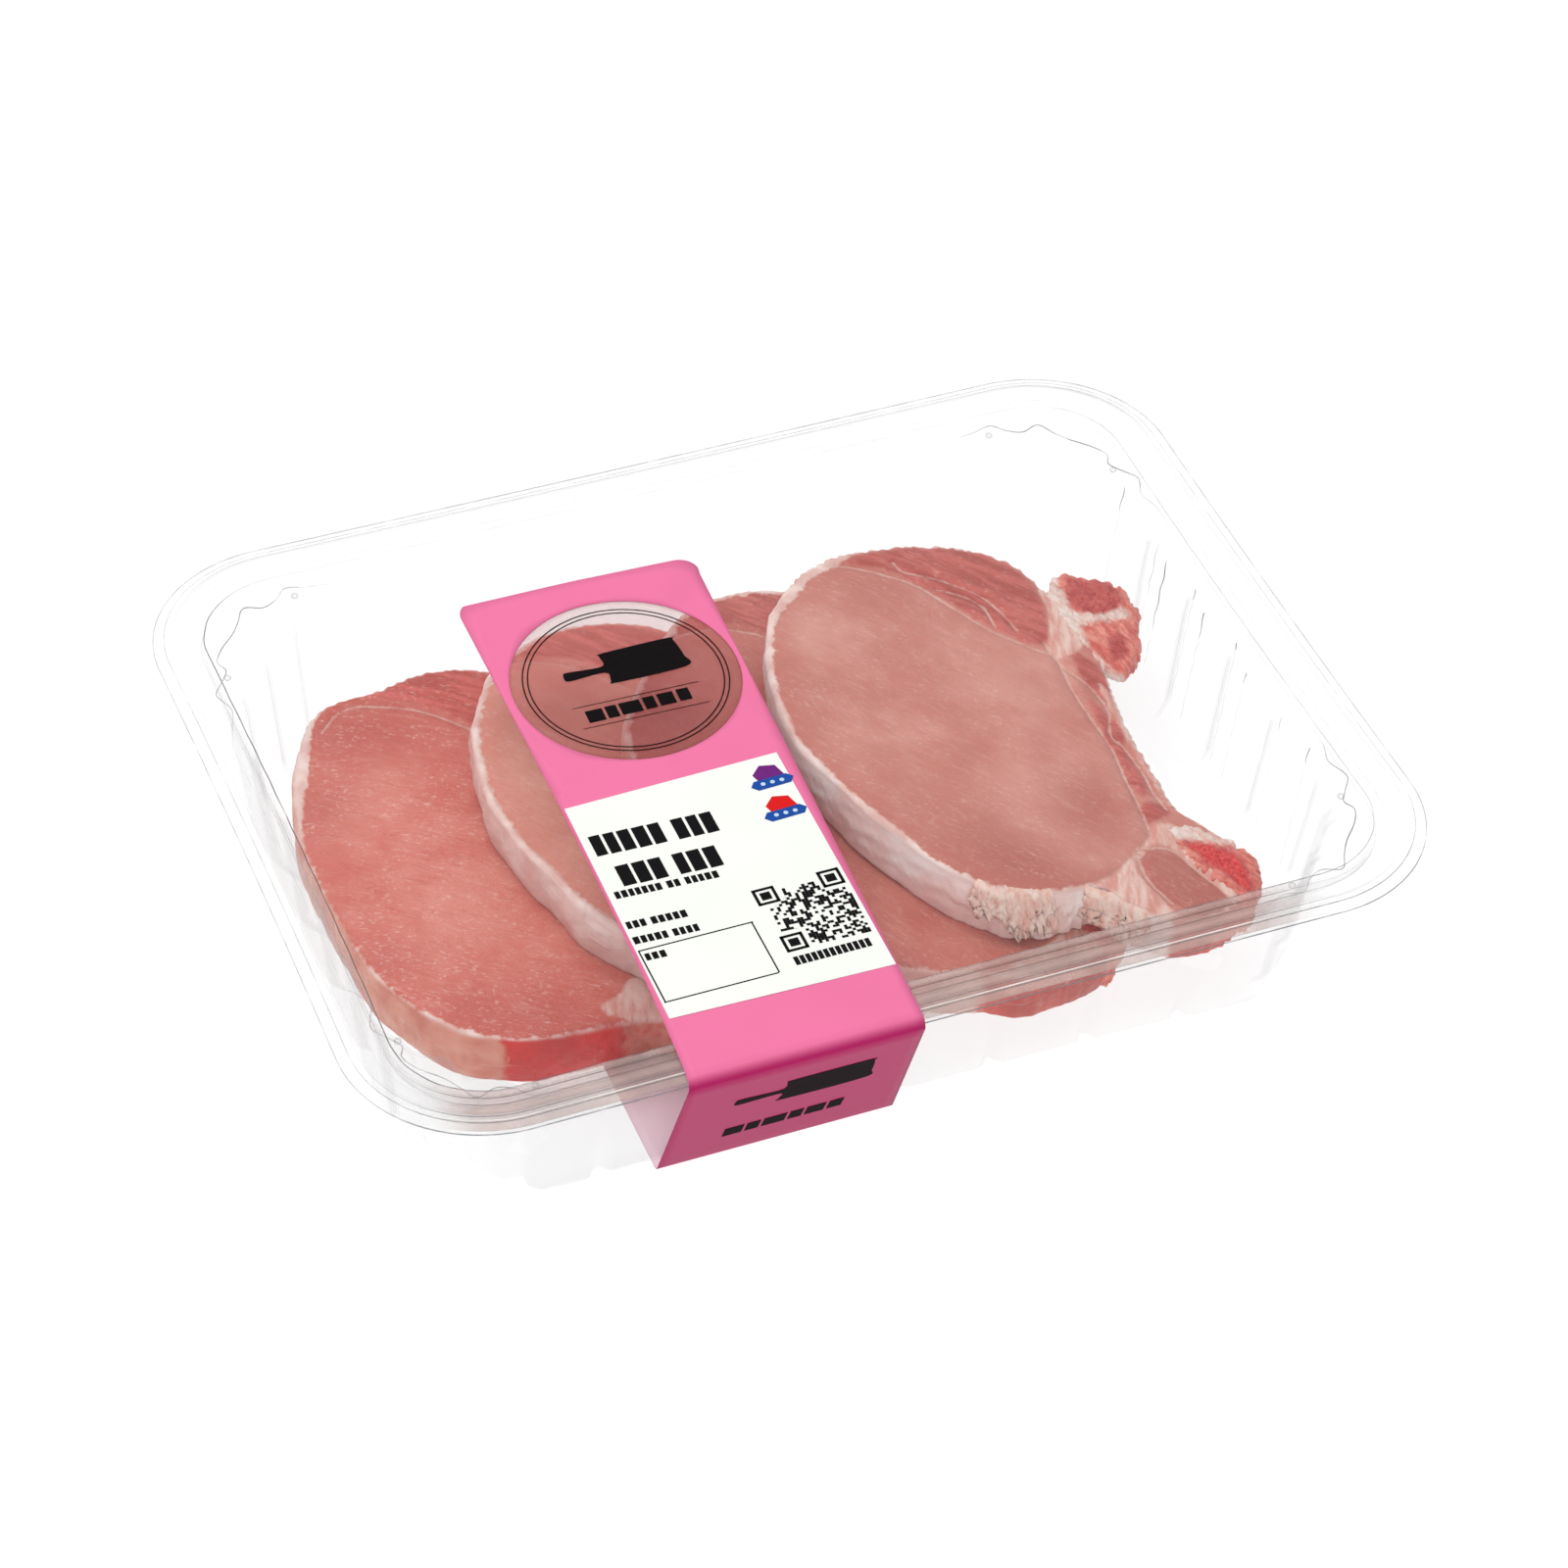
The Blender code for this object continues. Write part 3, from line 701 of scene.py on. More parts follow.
class RimPath:
    """Places round the tray, side by side and corner by corner, with the ribs that cross them.

    Sides are numbered front, right, back and left; a corner has the number of the side before it.
    """

    def __init__(self, long_count, short_count, corner_count):
        side = []
        place = []
        corner = []
        for number in range(4):
            count = long_count if number % 2 == 0 else short_count
            last = self.last_mark(number)
            along = np.linspace(-last, last, count, endpoint=False)
            place.extend(along)
            side.extend([number] * count)
            corner.extend([False] * count)
            place.extend(np.linspace(0.0, 1.0, corner_count, endpoint=False))
            side.extend([number] * corner_count)
            corner.extend([True] * corner_count)
        self.side = np.array(side)
        self.place = np.array(place)
        self.corner = np.array(corner)
        self.rib = self.ribs()

    def last_mark(self, side):
        """How far from a side's middle its last rib ends."""
        reach = (FLUTES[side] - 1) / 2.0 * FLUTE_PITCHES[side]
        return reach + abs(FLUTE_SHIFTS[side]) + FLUTE_HALF_WIDTH + 0.6

    def ribs(self):
        """Share of a rib's depth at each place."""
        share = np.zeros(len(self.place))
        for side in range(4):
            chosen = (self.side == side) & ~self.corner
            for number in range(FLUTES[side]):
                middle = (number - (FLUTES[side] - 1) / 2.0) * FLUTE_PITCHES[side] + FLUTE_SHIFTS[side]
                away = np.abs(self.place[chosen] - middle)
                share[chosen] = np.maximum(share[chosen], 1.0 - smooth(0.7, FLUTE_HALF_WIDTH, away))
        for middle in CORNER_FLUTES:
            away = np.abs(self.place[self.corner] - middle)
            share[self.corner] = np.maximum(share[self.corner], 0.8 * (1.0 - smooth(0.02, 0.075, away)))
        return share

    def outline(self, inset_x, inset_y, cut_in=0.0, rib_depth=0.0, ruffle=0.0):
        """Plan of one ring of the tray; cut_in turns the round corners into facets."""
        half_length = RIM_LENGTH / 2.0 - inset_x
        half_width = RIM_WIDTH / 2.0 - inset_y
        radius = max(RIM_CORNER - (inset_x + inset_y) / 2.0, 4.0)
        part = min(1.0, cut_in)
        cut_x = CUT_ALONG_LENGTH - CUT_SHRINK * max(0.0, cut_in - 1.0)
        cut_y = CUT_ALONG_WIDTH - CUT_SHRINK * max(0.0, cut_in - 1.0)
        straight = np.where(
            self.side % 2 == 0,
            half_length - blend(radius, cut_x, part),
            half_width - blend(radius, cut_y, part),
        )
        last = np.array([self.last_mark(side) for side in range(4)])[self.side]
        fitted = self.place * np.minimum(1.0, straight / (last + 0.4))
        turn = self.side * math.pi / 2.0
        offset = np.where(self.side % 2 == 0, half_width, half_length) - self.rib * rib_depth
        side_x = fitted * np.cos(turn) + offset * np.sin(turn)
        side_y = fitted * np.sin(turn) - offset * np.cos(turn)
        share = np.where(self.side % 2 == 0, self.place, 1.0 - self.place)
        angle = share * math.pi / 2.0
        round_x = half_length - radius + radius * np.sin(angle)
        round_y = half_width - radius + radius * np.cos(angle)
        bulge = (1.6 + ruffle * np.sin(6.0 * math.pi * share)) * np.sin(math.pi * share)
        flat_x = half_length - cut_x * (1.0 - share) + bulge * 0.75
        flat_y = half_width - cut_y * share + bulge * 0.65
        sign_x = np.array([1.0, 1.0, -1.0, -1.0])[self.side]
        sign_y = np.array([-1.0, 1.0, 1.0, -1.0])[self.side]
        corner_x = (blend(round_x, flat_x, part) - self.rib * rib_depth * 0.75) * sign_x
        corner_y = (blend(round_y, flat_y, part) - self.rib * rib_depth * 0.65) * sign_y
        x = np.where(self.corner, corner_x, side_x)
        y = np.where(self.corner, corner_y, side_y)
        reach_x = np.clip(1.0 - (y / half_width) ** 2, 0.0, None)
        reach_y = np.clip(1.0 - (x / half_length) ** 2, 0.0, None)
        return np.stack([
            x * (1.0 - SHORT_SIDE_WAIST * reach_x / half_length),
            y * (1.0 - LONG_SIDE_WAIST * reach_y / half_width),
        ], axis=1)


def tray_rings(path, flute_depth, sheet):
    """Rings of the tray's upper and inner face, from the lip in and down to the base."""
    rings = []
    # how far in from the rim's edge, and how far below its top
    lip = (
        (-LIP_OUT, 0.98), (-LIP_OUT, 0.76), (-2.45, 0.52), (-1.9, 0.32), (-1.0, 0.13), (0.0, 0.0),
        (0.7, 0.0), (1.1, 0.28), (1.6, 0.34), (2.0, 0.05), (2.4, 0.0), (4.9, 0.0), (5.3, 0.22),
        (5.9, 0.26), (6.5, 0.22), (6.95, 0.38),
    )
    for inset, depth in lip:
        rings.append(ring(path.outline(inset, inset), RIM_TOP - depth))

    def wall(depth, lean, cut_in, ribbed, extra=0.0, lift=0.0, ruffle=0.0):
        """A ring of the wall; lean and ribbed are shares, extra goes in and lift follows the base."""
        inset_x = RIM_LAND + LEAN_SHORT_SIDE * lean + extra + sheet
        inset_y = RIM_LAND + LEAN_LONG_SIDE * lean + extra + sheet
        plan = path.outline(inset_x, inset_y, cut_in, ribbed * flute_depth, ruffle)
        rings.append(ring(plan, RIM_TOP - depth + lift * pad_rise(plan[:, 0])))

    wall(0.9, 0.01, 0.0, 0.0, -0.15)
    wall(2.4, 0.02, 0.0, 0.0)
    wall(LEDGE_DEPTH - 0.35, 0.03, 0.0, 0.0)
    wall(LEDGE_DEPTH, 0.03, 0.07, 0.0)
    wall(LEDGE_DEPTH + 0.15, 0.04, 0.45, 0.0, ruffle=0.5)
    wall(LEDGE_DEPTH + 0.2, 0.04, 0.9, 0.0, ruffle=0.9)
    wall(LEDGE_DEPTH + 0.55, 0.05, 1.0, 0.0, ruffle=1.0)
    wall(5.4, 0.07, 1.0, 0.0, ruffle=0.9)
    for step in range(14):
        depth = blend(6.4, WALL_FOOT, (step / 13.0) ** 1.25)
        ribbed = float(smooth(FLUTE_START - 1.0, FLUTE_START + 5.0, depth))
        share = depth / WALL_FOOT
        wall(depth, share, 1.0 + 0.9 * share, ribbed, lift=0.3 * share, ruffle=max(0.0, 0.8 - depth / 14.0))
    foot = RIM_TOP - FOOT_RADIUS
    for step in range(1, 9):
        angle = math.radians(11.25 * step)
        slant = FOOT_RADIUS * (1.0 - math.cos(angle)) * 0.94
        drop = (FOOT_RADIUS - sheet) * math.sin(angle)
        share = step / 8.0
        wall(foot + drop, 1.0, 1.9 + 0.1 * share, 1.0 - 0.45 * share ** 2, slant, 0.3 + 0.7 * share)
    edge = rings[-1]
    for share in np.linspace(0.985, 0.04, 26):
        plan = edge[:, :2] * share
        flute_end = smooth(0.93, 1.0, share)
        rings.append(ring(plan, sheet + pad_rise(plan[:, 0]) + 0.25 * flute_end * path.rib))
    return rings


def build_tray(settings):
    """The formed sheet itself, with painted shade on its front wall: darker at the left and lighter at the
    right.
    """
    path = RimPath(132, 100, 40)
    sheet = settings.sheet / MM
    rings = tray_rings(path, settings.flute_depth / MM, sheet)
    count = len(rings[0])
    points = np.vstack(rings + [[[0.0, 0.0, sheet + float(pad_rise(np.array(0.0)))]]])
    faces = grid_faces(len(rings), count) + fan(len(points) - 1 - count, count, len(points) - 1)
    plastic = clear_sheet("clear_tray", body=0.045, edge=9.0, most=0.15, haze=0.01, rough=0.1,
                          grey=(0.38, 0.39, 0.40), with_painted_shade=True)
    # painted shade on the front wall: more cover at the left, less at the right
    front = smooth(-62.0, -74.0, points[:, 1]) * smooth(RIM_TOP - 5.0, RIM_TOP - 8.0, points[:, 2])
    dense = front * blend(0.068, -0.026, smooth(-40.0, 20.0, points[:, 0]))
    piece = make_piece("formed_tray", points, faces, plastic, fields={"dense": dense}, solid=sheet)
    return attach(piece, "clear_plastic", "tray")


# ---------------------------------------------------------------- geometry nodes

def node_group(name, inputs, output):
    """A geometry node group with its sockets: the group, its input node and its inputs' identifiers."""
    tree = bpy.data.node_groups.new(name, "GeometryNodeTree")
    names = {}
    for label, kind in inputs + (("Finish", "Material"),):
        socket = tree.interface.new_socket(label, in_out="INPUT", socket_type="NodeSocket" + kind)
        names[label] = socket.identifier
    tree.interface.new_socket(output, in_out="OUTPUT", socket_type="NodeSocketGeometry")
    return tree, tree.nodes.new("NodeGroupInput"), names


def join_nodes(tree, *links):
    """Links given as a node's output and another node's input, each by the node and the socket."""
    for source, output, target, entry in links:
        tree.links.new(source.outputs[output], target.inputs[entry])


def close_group(tree, start, made):
    """The last nodes of every group: plain mesh, its material and the group's output."""
    realize = tree.nodes.new("GeometryNodeRealizeInstances")
    painted = tree.nodes.new("GeometryNodeSetMaterial")
    end = tree.nodes.new("NodeGroupOutput")
    join_nodes(tree, (made, 0, realize, 0), (realize, 0, painted, "Geometry"),
               (start, "Finish", painted, "Material"), (painted, 0, end, 0))


def run_group(name, mesh, group, material, **values):
    """Gives a mesh to a node group and keeps what comes out as a plain mesh."""
    tree, names = group
    piece = link_object(name, mesh)
    maker = piece.modifiers.new(name, "NODES")
    maker.node_group = tree
    maker[names["Finish"]] = material
    for label, value in values.items():
        maker[names[label]] = value
    bake_modifiers(piece)
    return piece


def tube_group():
    """Lines of edges become round beads."""
    inputs = (("Path", "Geometry"), ("Radius", "Float"), ("Sides", "Int"))
    tree, start, names = node_group("bead_on_path", inputs, "Bead")
    line = tree.nodes.new("GeometryNodeMeshToCurve")
    circle = tree.nodes.new("GeometryNodeCurvePrimitiveCircle")
    sweep = tree.nodes.new("GeometryNodeCurveToMesh")
    sweep.inputs["Fill Caps"].default_value = True
    join_nodes(tree, (start, "Path", line, 0), (start, "Radius", circle, "Radius"),
               (start, "Sides", circle, "Resolution"), (line, 0, sweep, "Curve"),
               (circle, 0, sweep, "Profile Curve"))
    close_group(tree, start, sweep)
    return tree, names


def bead(name, lines, radius, material, closed=True):
    """Round beads along lines of points; each line brings the strength of its finish."""
    mesh = bpy.data.meshes.new(name)
    points = []
    edges = []
    tones = []
    for line, tone in lines:
        start = len(points)
        count = len(line)
        points.extend(np.asarray(line, dtype=float).tolist())
        tones.extend(np.broadcast_to(tone, (count,)).tolist())
        steps = count if closed else count - 1
        edges.extend((start + place, start + (place + 1) % count) for place in range(steps))
    mesh.from_pydata(metres(points).tolist(), edges, [])
    give_field(mesh, "tone", tones)
    piece = run_group(name, mesh, tube_group(), material, Radius=radius * MM, Sides=BEAD_SIDES)
    smooth_shade(piece.data)
    return attach(piece, "clear_plastic")


def lug_group():
    """One low dome on every point of a mesh."""
    tree, start, names = node_group("lug_on_points", (("Points", "Geometry"), ("Radius", "Float")), "Lugs")
    dome = tree.nodes.new("GeometryNodeMeshIcoSphere")
    dome.inputs["Subdivisions"].default_value = 3
    spread = tree.nodes.new("GeometryNodeInstanceOnPoints")
    spread.inputs["Scale"].default_value = (1.0, 1.0, 0.7)
    join_nodes(tree, (start, "Radius", dome, "Radius"), (start, "Points", spread, "Points"),
               (dome, 0, spread, "Instance"))
    close_group(tree, start, spread)
    return tree, names


def build_lugs():
    """Small stacking lugs on the corner ledges."""
    plastic = clear_sheet("clear_lug", body=0.06, edge=1.6, most=0.7, haze=0.0, rough=0.08,
                          grey=(0.20, 0.20, 0.21))
    height = RIM_TOP - LEDGE_DEPTH - 0.2
    spots = [(sign_x * x, sign_y * y, height) for sign_x, sign_y in CORNER_SIGNS for x, y in LUG_PLACES]
    mesh = bpy.data.meshes.new("corner_lugs")
    mesh.from_pydata(metres(spots).tolist(), [], [])
    piece = run_group("corner_lugs", mesh, lug_group(), plastic, Radius=LUG_RADIUS * MM)
    smooth_shade(piece.data)
    return attach(piece, "clear_plastic")


# ---------------------------------------------------------------- flange and fine edges

def painted_meat_mask(plan):
    """1 along the front of the flange, where the meat's colour is painted in for the meat seen through it
    by refraction, fading to 0.
    """
    front = smooth(-60.0, -72.0, plan[:, 1])
    return front * smooth(-104.0, -92.0, plan[:, 0]) * (1.0 - smooth(72.0, 86.0, plan[:, 0]))


def band_fields(points):
    """What the flange's bands read: the painted meat colour where the meat shows through them, and how
    dense they are on each side.
    """
    right_end = smooth(72.0, 84.0, points[:, 0]) * smooth(-60.0, -72.0, points[:, 1])
    share = side_tone(points, 0.36, 1.0, 0.46, 0.46) * (1.0 - 0.65 * right_end)
    return {"warm": painted_meat_mask(points), "share": share}


def strip(name, path, inset, width, lift, material, uneven=0.0):
    """A thin flat band round the flange."""
    turn = np.linspace(0.0, 2.0 * math.pi, len(path.place), endpoint=False)
    ragged = uneven * (np.sin(turn * 57.0) * np.sin(turn * 13.0 + 1.0) + 0.8 * np.sin(turn * 131.0))
    low = path.outline(inset, inset)
    inward = path.outline(inset + 1.0, inset + 1.0) - low
    rows = []
    for share in (0.0, 0.5, 1.0):
        rows.append(ring(low + inward * (share * (width + ragged))[:, None], RIM_TOP + lift))
    points = np.vstack(rows)
    faces = grid_faces(len(rows), len(low))
    piece = make_piece(name, points, faces, material, fields=band_fields(points), solid=BAND_THICK)
    return attach(piece, "clear_film")


def side_tone(plan, left, front, right, back):
    """Strength of a line round the tray, told for each side."""
    total = np.zeros(len(plan))
    weight = np.full(len(plan), 1e-6)
    x, y = plan[:, 0] / TONE_REACH, plan[:, 1] / TONE_REACH
    long_end, wide_end = TONE_BOX[0] / TONE_REACH, TONE_BOX[1] / TONE_REACH
    sides = ((left, x + long_end), (right, long_end - x), (front, y + wide_end), (back, wide_end - y))
    for value, away in sides:
        share = 1.0 / (np.abs(away) + 0.05) ** 3
        total += value * share
        weight += share
    return total / weight


def wall_x(depth, y):
    """Half length of the tray's inner wall at a depth below the rim."""
    waist = SHORT_SIDE_WAIST * (1.0 - (y / (RIM_WIDTH / 2.0)) ** 2)
    return RIM_LENGTH / 2.0 - RIM_LAND - LEAN_SHORT_SIDE * depth / WALL_FOOT - waist - 0.8


# edge of the moulded ledge in each corner: along X and Y from the corner of the rim, and depth
LEDGE_WAVES = (
    (6.6, 50.0, 6.5), (7.9, 45.5, 4.2), (9.2, 41.0, 3.9), (8.0, 37.6, 3.9), (7.6, 35.2, 4.0),
    (9.8, 32.0, 4.0), (11.6, 29.0, 3.9), (10.6, 26.2, 3.8), (12.4, 22.6, 3.9), (16.2, 18.4, 3.9),
    (18.4, 15.0, 4.0), (20.6, 11.4, 3.9), (24.6, 12.6, 3.9), (28.0, 11.0, 3.8), (30.6, 8.2, 3.9),
    (35.0, 8.9, 4.2), (41.0, 7.6, 6.0),
)
# edges seen down the right wall: Y, the depths where each starts and ends, and its strength
WALL_LINES = (
    (53.0, 7.0, 15.0, 0.6), (34.5, 8.0, 24.0, 0.5), (29.6, 9.0, 30.0, 0.75), (16.3, 7.0, 10.5, 0.8),
    (10.8, 9.0, 17.0, 0.9), (-3.9, 6.0, 8.0, 0.8), (-9.6, 9.0, 13.0, 0.7), (-26.0, 8.0, 12.0, 0.3),
    (-38.0, 6.0, 11.0, 0.7),
)
WALL_LINE_FOOT = 38.0


def ledge_line(sign_x, sign_y):
    """The wavy edge of one corner's ledge."""
    wave = np.array(LEDGE_WAVES)[::-1 if sign_x * sign_y > 0.0 else 1]
    x = sign_x * (RIM_LENGTH / 2.0 - wave[:, 0])
    y = sign_y * (RIM_WIDTH / 2.0 - wave[:, 1])
    curve = open_curve(np.stack([x, y, RIM_TOP - wave[:, 2] + 0.15], axis=1), 90)
    fade = np.sin(np.linspace(0.08, math.pi - 0.08, len(curve)))
    return curve, fade * (0.62 if sign_x > 0.0 or sign_y > 0.0 else 0.5)


def wall_lines():
    """Each edge of the right wall: a dark wavy part, then a faint one down to the foot."""
    lines = []
    for y, start, end, tone in WALL_LINES:
        depth = np.linspace(start, end, 24)
        line = np.stack([wall_x(depth, y), y + 0.25 * np.sin(depth * 0.9 + y), RIM_TOP - depth], axis=1)
        share = (depth - start) / (end - start)
        lines.append((line, tone * smooth(0.0, 0.12, share) * (1.0 - share ** 2)))
        depth = np.linspace(end, WALL_LINE_FOOT, 24)
        x = wall_x(depth, y) - 0.4 * np.exp((depth - 41.0) / 2.0)
        lines.append((np.stack([x, y + 0.2 * np.sin(depth), RIM_TOP - depth], axis=1), 0.12 * tone))
    return lines


def build_creases():
    """Painted dark lines on the moulding's real edges, standing in for the darkness that refraction and
    reflection give there: mouth line, corner ledges and the ribs of the right wall.
    """
    dark = painted_edge_line("painted_edge_line", (0.10, 0.10, 0.11))
    path = RimPath(120, 90, 40)
    mouth = path.outline(RIM_LAND + 0.9, RIM_LAND + 0.9)
    turn = np.linspace(0.0, 2.0 * math.pi, len(mouth), endpoint=False)
    mouth += 0.05 * np.stack([np.sin(turn * 61.0), np.cos(turn * 47.0)], axis=1)
    step = path.outline(RIM_LAND + 0.2, RIM_LAND + 0.2)
    bead("mouth_lines", [
        (ring(mouth, RIM_TOP - 0.1), side_tone(mouth, 0.9, 0.45, 0.22, 0.07)),
        (ring(step, RIM_TOP - 3.2), side_tone(step, 0.10, 0.24, 0.08, 0.03)),
    ], 0.11, dark)
    bead("ledge_lines", [ledge_line(*signs) for signs in CORNER_SIGNS], 0.12, dark, closed=False)
    bead("rib_lines", wall_lines(), 0.11, dark, closed=False)


def build_rim_details():
    """Bands and beads of the flange, the lugs and the painted dark lines on the moulding's fine edges."""
    path = RimPath(360, 280, 100)
    # the fifth colour of each strip is the painted meat colour of the front flange
    frost = seal_strip("frosted_seal", 0.06, 0.26, (0.40, 0.40, 0.41), paint(214, 188, 181), 0.38)
    fine_frost = seal_strip("fine_frost", 0.045, 0.12, (0.52, 0.52, 0.53), paint(220, 190, 182), 0.32)
    clear_band = seal_strip("clear_band", 0.02, 0.02, (0.6, 0.6, 0.6), paint(206, 172, 164), 0.32)
    painted_dark_band = seal_strip("painted_dark_band", 0.16, 0.1, (0.2, 0.2, 0.21), paint(150, 116, 110), 0.38)
    painted_highlight_band = seal_strip("painted_highlight_band", 0.35, 0.1, (0.78, 0.78, 0.78), paint(252, 246, 243), 0.6)
    # painted highlight: a white line along the flange's outer edge
    strip("seal_edge_line", path, 0.15, 0.32, 0.05, painted_highlight_band)
    # painted dark lines on the flange's real grooves, standing in for the darkness that refraction and
    # reflection give there
    strip("seal_outer_dark", path, 1.3, 0.2, 0.04, painted_dark_band)
    strip("seal_outer", path, 1.8, 2.1, 0.05, fine_frost, 0.05)
    strip("seal_middle_dark", path, 4.1, 0.2, 0.04, painted_dark_band)
    strip("seal_inner_dark", path, 5.9, 0.3, 0.04, painted_dark_band)
    strip("seal_inner", path, 6.5, 1.5, 0.05, frost, 0.10)
    strip("flange_tint", path, 0.4, 6.2, 0.01, clear_band)
    # painted dark lines along the lip and the rim edge
    painted_bead_line = painted_edge_line("painted_bead_edge", (0.22, 0.22, 0.23))
    outer = path.outline(-LIP_OUT + 0.1, -LIP_OUT + 0.1)
    edge = path.outline(-0.2, -0.2)
    bead("lip_bead", [(ring(outer, RIM_TOP - 0.9), side_tone(outer, 0.30, 0.75, 0.34, 0.34))], 0.13, painted_bead_line)
    bead("rim_bead", [(ring(edge, RIM_TOP - 0.05), side_tone(edge, 0.24, 0.55, 0.22, 0.22))], 0.12, painted_bead_line)
    build_skirt(path)
    build_creases()
    build_lugs()


def build_skirt(path):
    """Turned-down edge of the flange, with the meat's colour painted in at the front, where the meat shows
    through it by refraction.
    """
    rows = []
    for inset, depth in ((0.1, 0.0), (-1.0, 0.13), (-1.7, 0.28), (-2.1, 0.4)):
        rows.append(ring(path.outline(inset, inset), RIM_TOP - depth + 0.05))
    points = np.vstack(rows[::-1])
    faces = grid_faces(len(rows), len(path.place))
    shade = seal_strip("skirt_tint", 0.03, 0.05, (0.62, 0.62, 0.62), paint(212, 188, 180), 0.42)
    piece = make_piece("skirt_band", points, faces, shade, fields=band_fields(points), solid=BAND_THICK)
    return attach(piece, "clear_plastic")


# ---------------------------------------------------------------- lid film

def build_film():
    """Clear film pulled tight over the flange, with faint tension waves at its corners."""
    edge = RimPath(150, 110, 48).outline(0.9, 0.9)
    rows = []
    for share in np.concatenate([np.linspace(1.0, 0.86, 8), np.linspace(0.82, 0.06, 20)]):
        plan = edge * share
        reach_x, reach_y = np.clip(np.abs(plan) / FILM_CORNER, 0.0, 1.0).T
        ripple = np.sin(np.arctan2(plan[:, 1], plan[:, 0]) * 46.0) * reach_x ** 6 * reach_y ** 4
        flat = smooth(0.9, 0.97, share)
        dip = -0.12 * (1.0 - share ** 4) + 0.22 * ripple * (1.0 - flat)
        rows.append(ring(plan, RIM_TOP + 0.30 + dip))
    count = len(edge)
    points = np.vstack(rows + [[[0.0, 0.0, RIM_TOP + 0.18]]])
    faces = grid_faces(len(rows), count) + fan(len(points) - 1 - count, count, len(points) - 1)
    film = clear_sheet("clear_lid", body=0.028, edge=6.0, most=0.5, haze=0.012, rough=0.1,
                       grey=(0.40, 0.41, 0.42))
    piece = make_piece("sealed_film", points, faces, film, solid=FILM_THICK)
    return attach(piece, "clear_film", "lid_film")


# ---------------------------------------------------------------- label

def label_line():
    """The label's outer face from its back end over the rim, down the front and under the base."""
    top = LABEL_LIFT + LABEL_THICK
    lip_y = -(RIM_WIDTH / 2.0 + LIP_OUT + 0.45)
    line = [(LABEL_BACK, top), (-(RIM_WIDTH / 2.0 - 0.4), top)]
    for step in range(1, 7):
        angle = math.radians(15.0 * step)
        line.append((lip_y + 2.2 - 2.2 * math.sin(angle), top - 2.2 + 2.2 * math.cos(angle)))
    fold_z = LABEL_FOLD_RADIUS
    slope = math.atan2(RIM_TOP - fold_z, lip_y - LABEL_FOLD_Y)
    for step in range(7):
        angle = blend(slope + math.pi / 2.0, 1.5 * math.pi, step / 6.0)
        y = LABEL_FOLD_Y + LABEL_FOLD_RADIUS * (1.0 + math.cos(angle))
        line.append((y, fold_z + LABEL_FOLD_RADIUS * math.sin(angle)))
    line.append((LABEL_FOLD_Y + LABEL_FOLD_RADIUS + LABEL_UNDER, 0.0))
    return np.array(line)


LABEL_LINE = label_line()
LABEL_ALONG = np.concatenate([[0.0], np.cumsum(np.linalg.norm(np.diff(LABEL_LINE, axis=0), axis=1))])
FLAP_FROM = float(LABEL_ALONG[7])
FLAP_TO = float(LABEL_ALONG[8])


def label_edges(along):
    """Left and right edge of the label at a distance from its back end."""
    share = np.clip(along / FLAP_FROM, 0.0, 1.0)
    down = np.clip((along - FLAP_FROM) / (FLAP_TO - FLAP_FROM), 0.0, 1.0)
    left = -50.4 - 3.0 * share ** 4 + 1.2 * down
    right = 1.4 - 6.8 * share + 3.0 * down
    return left, right


def label_at(along):
    """Y and Z of the label's outer face at a distance from its back end."""
    return np.interp(along, LABEL_ALONG, LABEL_LINE[:, 0]), np.interp(along, LABEL_ALONG, LABEL_LINE[:, 1])


def on_label(x, along, lift=0.0):
    """A point on the label, raised off its outer face."""
    y, z = label_at(along)
    ahead_y, ahead_z = np.subtract(label_at(along + 0.2), label_at(along - 0.2))
    length = np.hypot(ahead_y, ahead_z) + 1e-9
    return np.stack([x, y + ahead_z / length * lift, z - ahead_y / length * lift], axis=-1)


def label_outline_top(columns, window_end):
    """Closed outline of the label's back part, whose front edge meets the columns of the rest."""
    corner = 4.2
    outline = []
    left, right = label_edges(window_end)
    for x in np.linspace(left, right, columns):
        outline.append((x, window_end))
    for along in np.linspace(window_end, corner, 22)[1:-1]:
        outline.append((label_edges(along)[1], along))
    right = label_edges(0.0)[1]
    for angle in np.linspace(0.0, math.pi / 2.0, 8):
        outline.append((right - corner + corner * math.cos(angle), corner - corner * math.sin(angle) + 0.9))
    left = label_edges(0.0)[0]
    for share in np.linspace(0.0, 1.0, 18)[1:-1]:
        outline.append((blend(right - corner, left + corner, share), blend(0.9, -0.9, share)))
    for angle in np.linspace(math.pi / 2.0, math.pi, 8):
        outline.append((left + corner + corner * math.cos(angle), corner - corner * math.sin(angle) - 0.9))
    for along in np.linspace(corner, window_end, 22)[1:-1]:
        outline.append((label_edges(along)[0], along))
    return np.array(outline)


def window_point(angle, scale=1.0):
    """X and the distance along the label of a point on an ellipse round the window's middle."""
    x = WINDOW_AT[0] + WINDOW_RADIUS[0] * scale * np.cos(angle)
    along = WINDOW_ALONG - WINDOW_RADIUS[1] * scale * np.sin(angle)
    return x, along


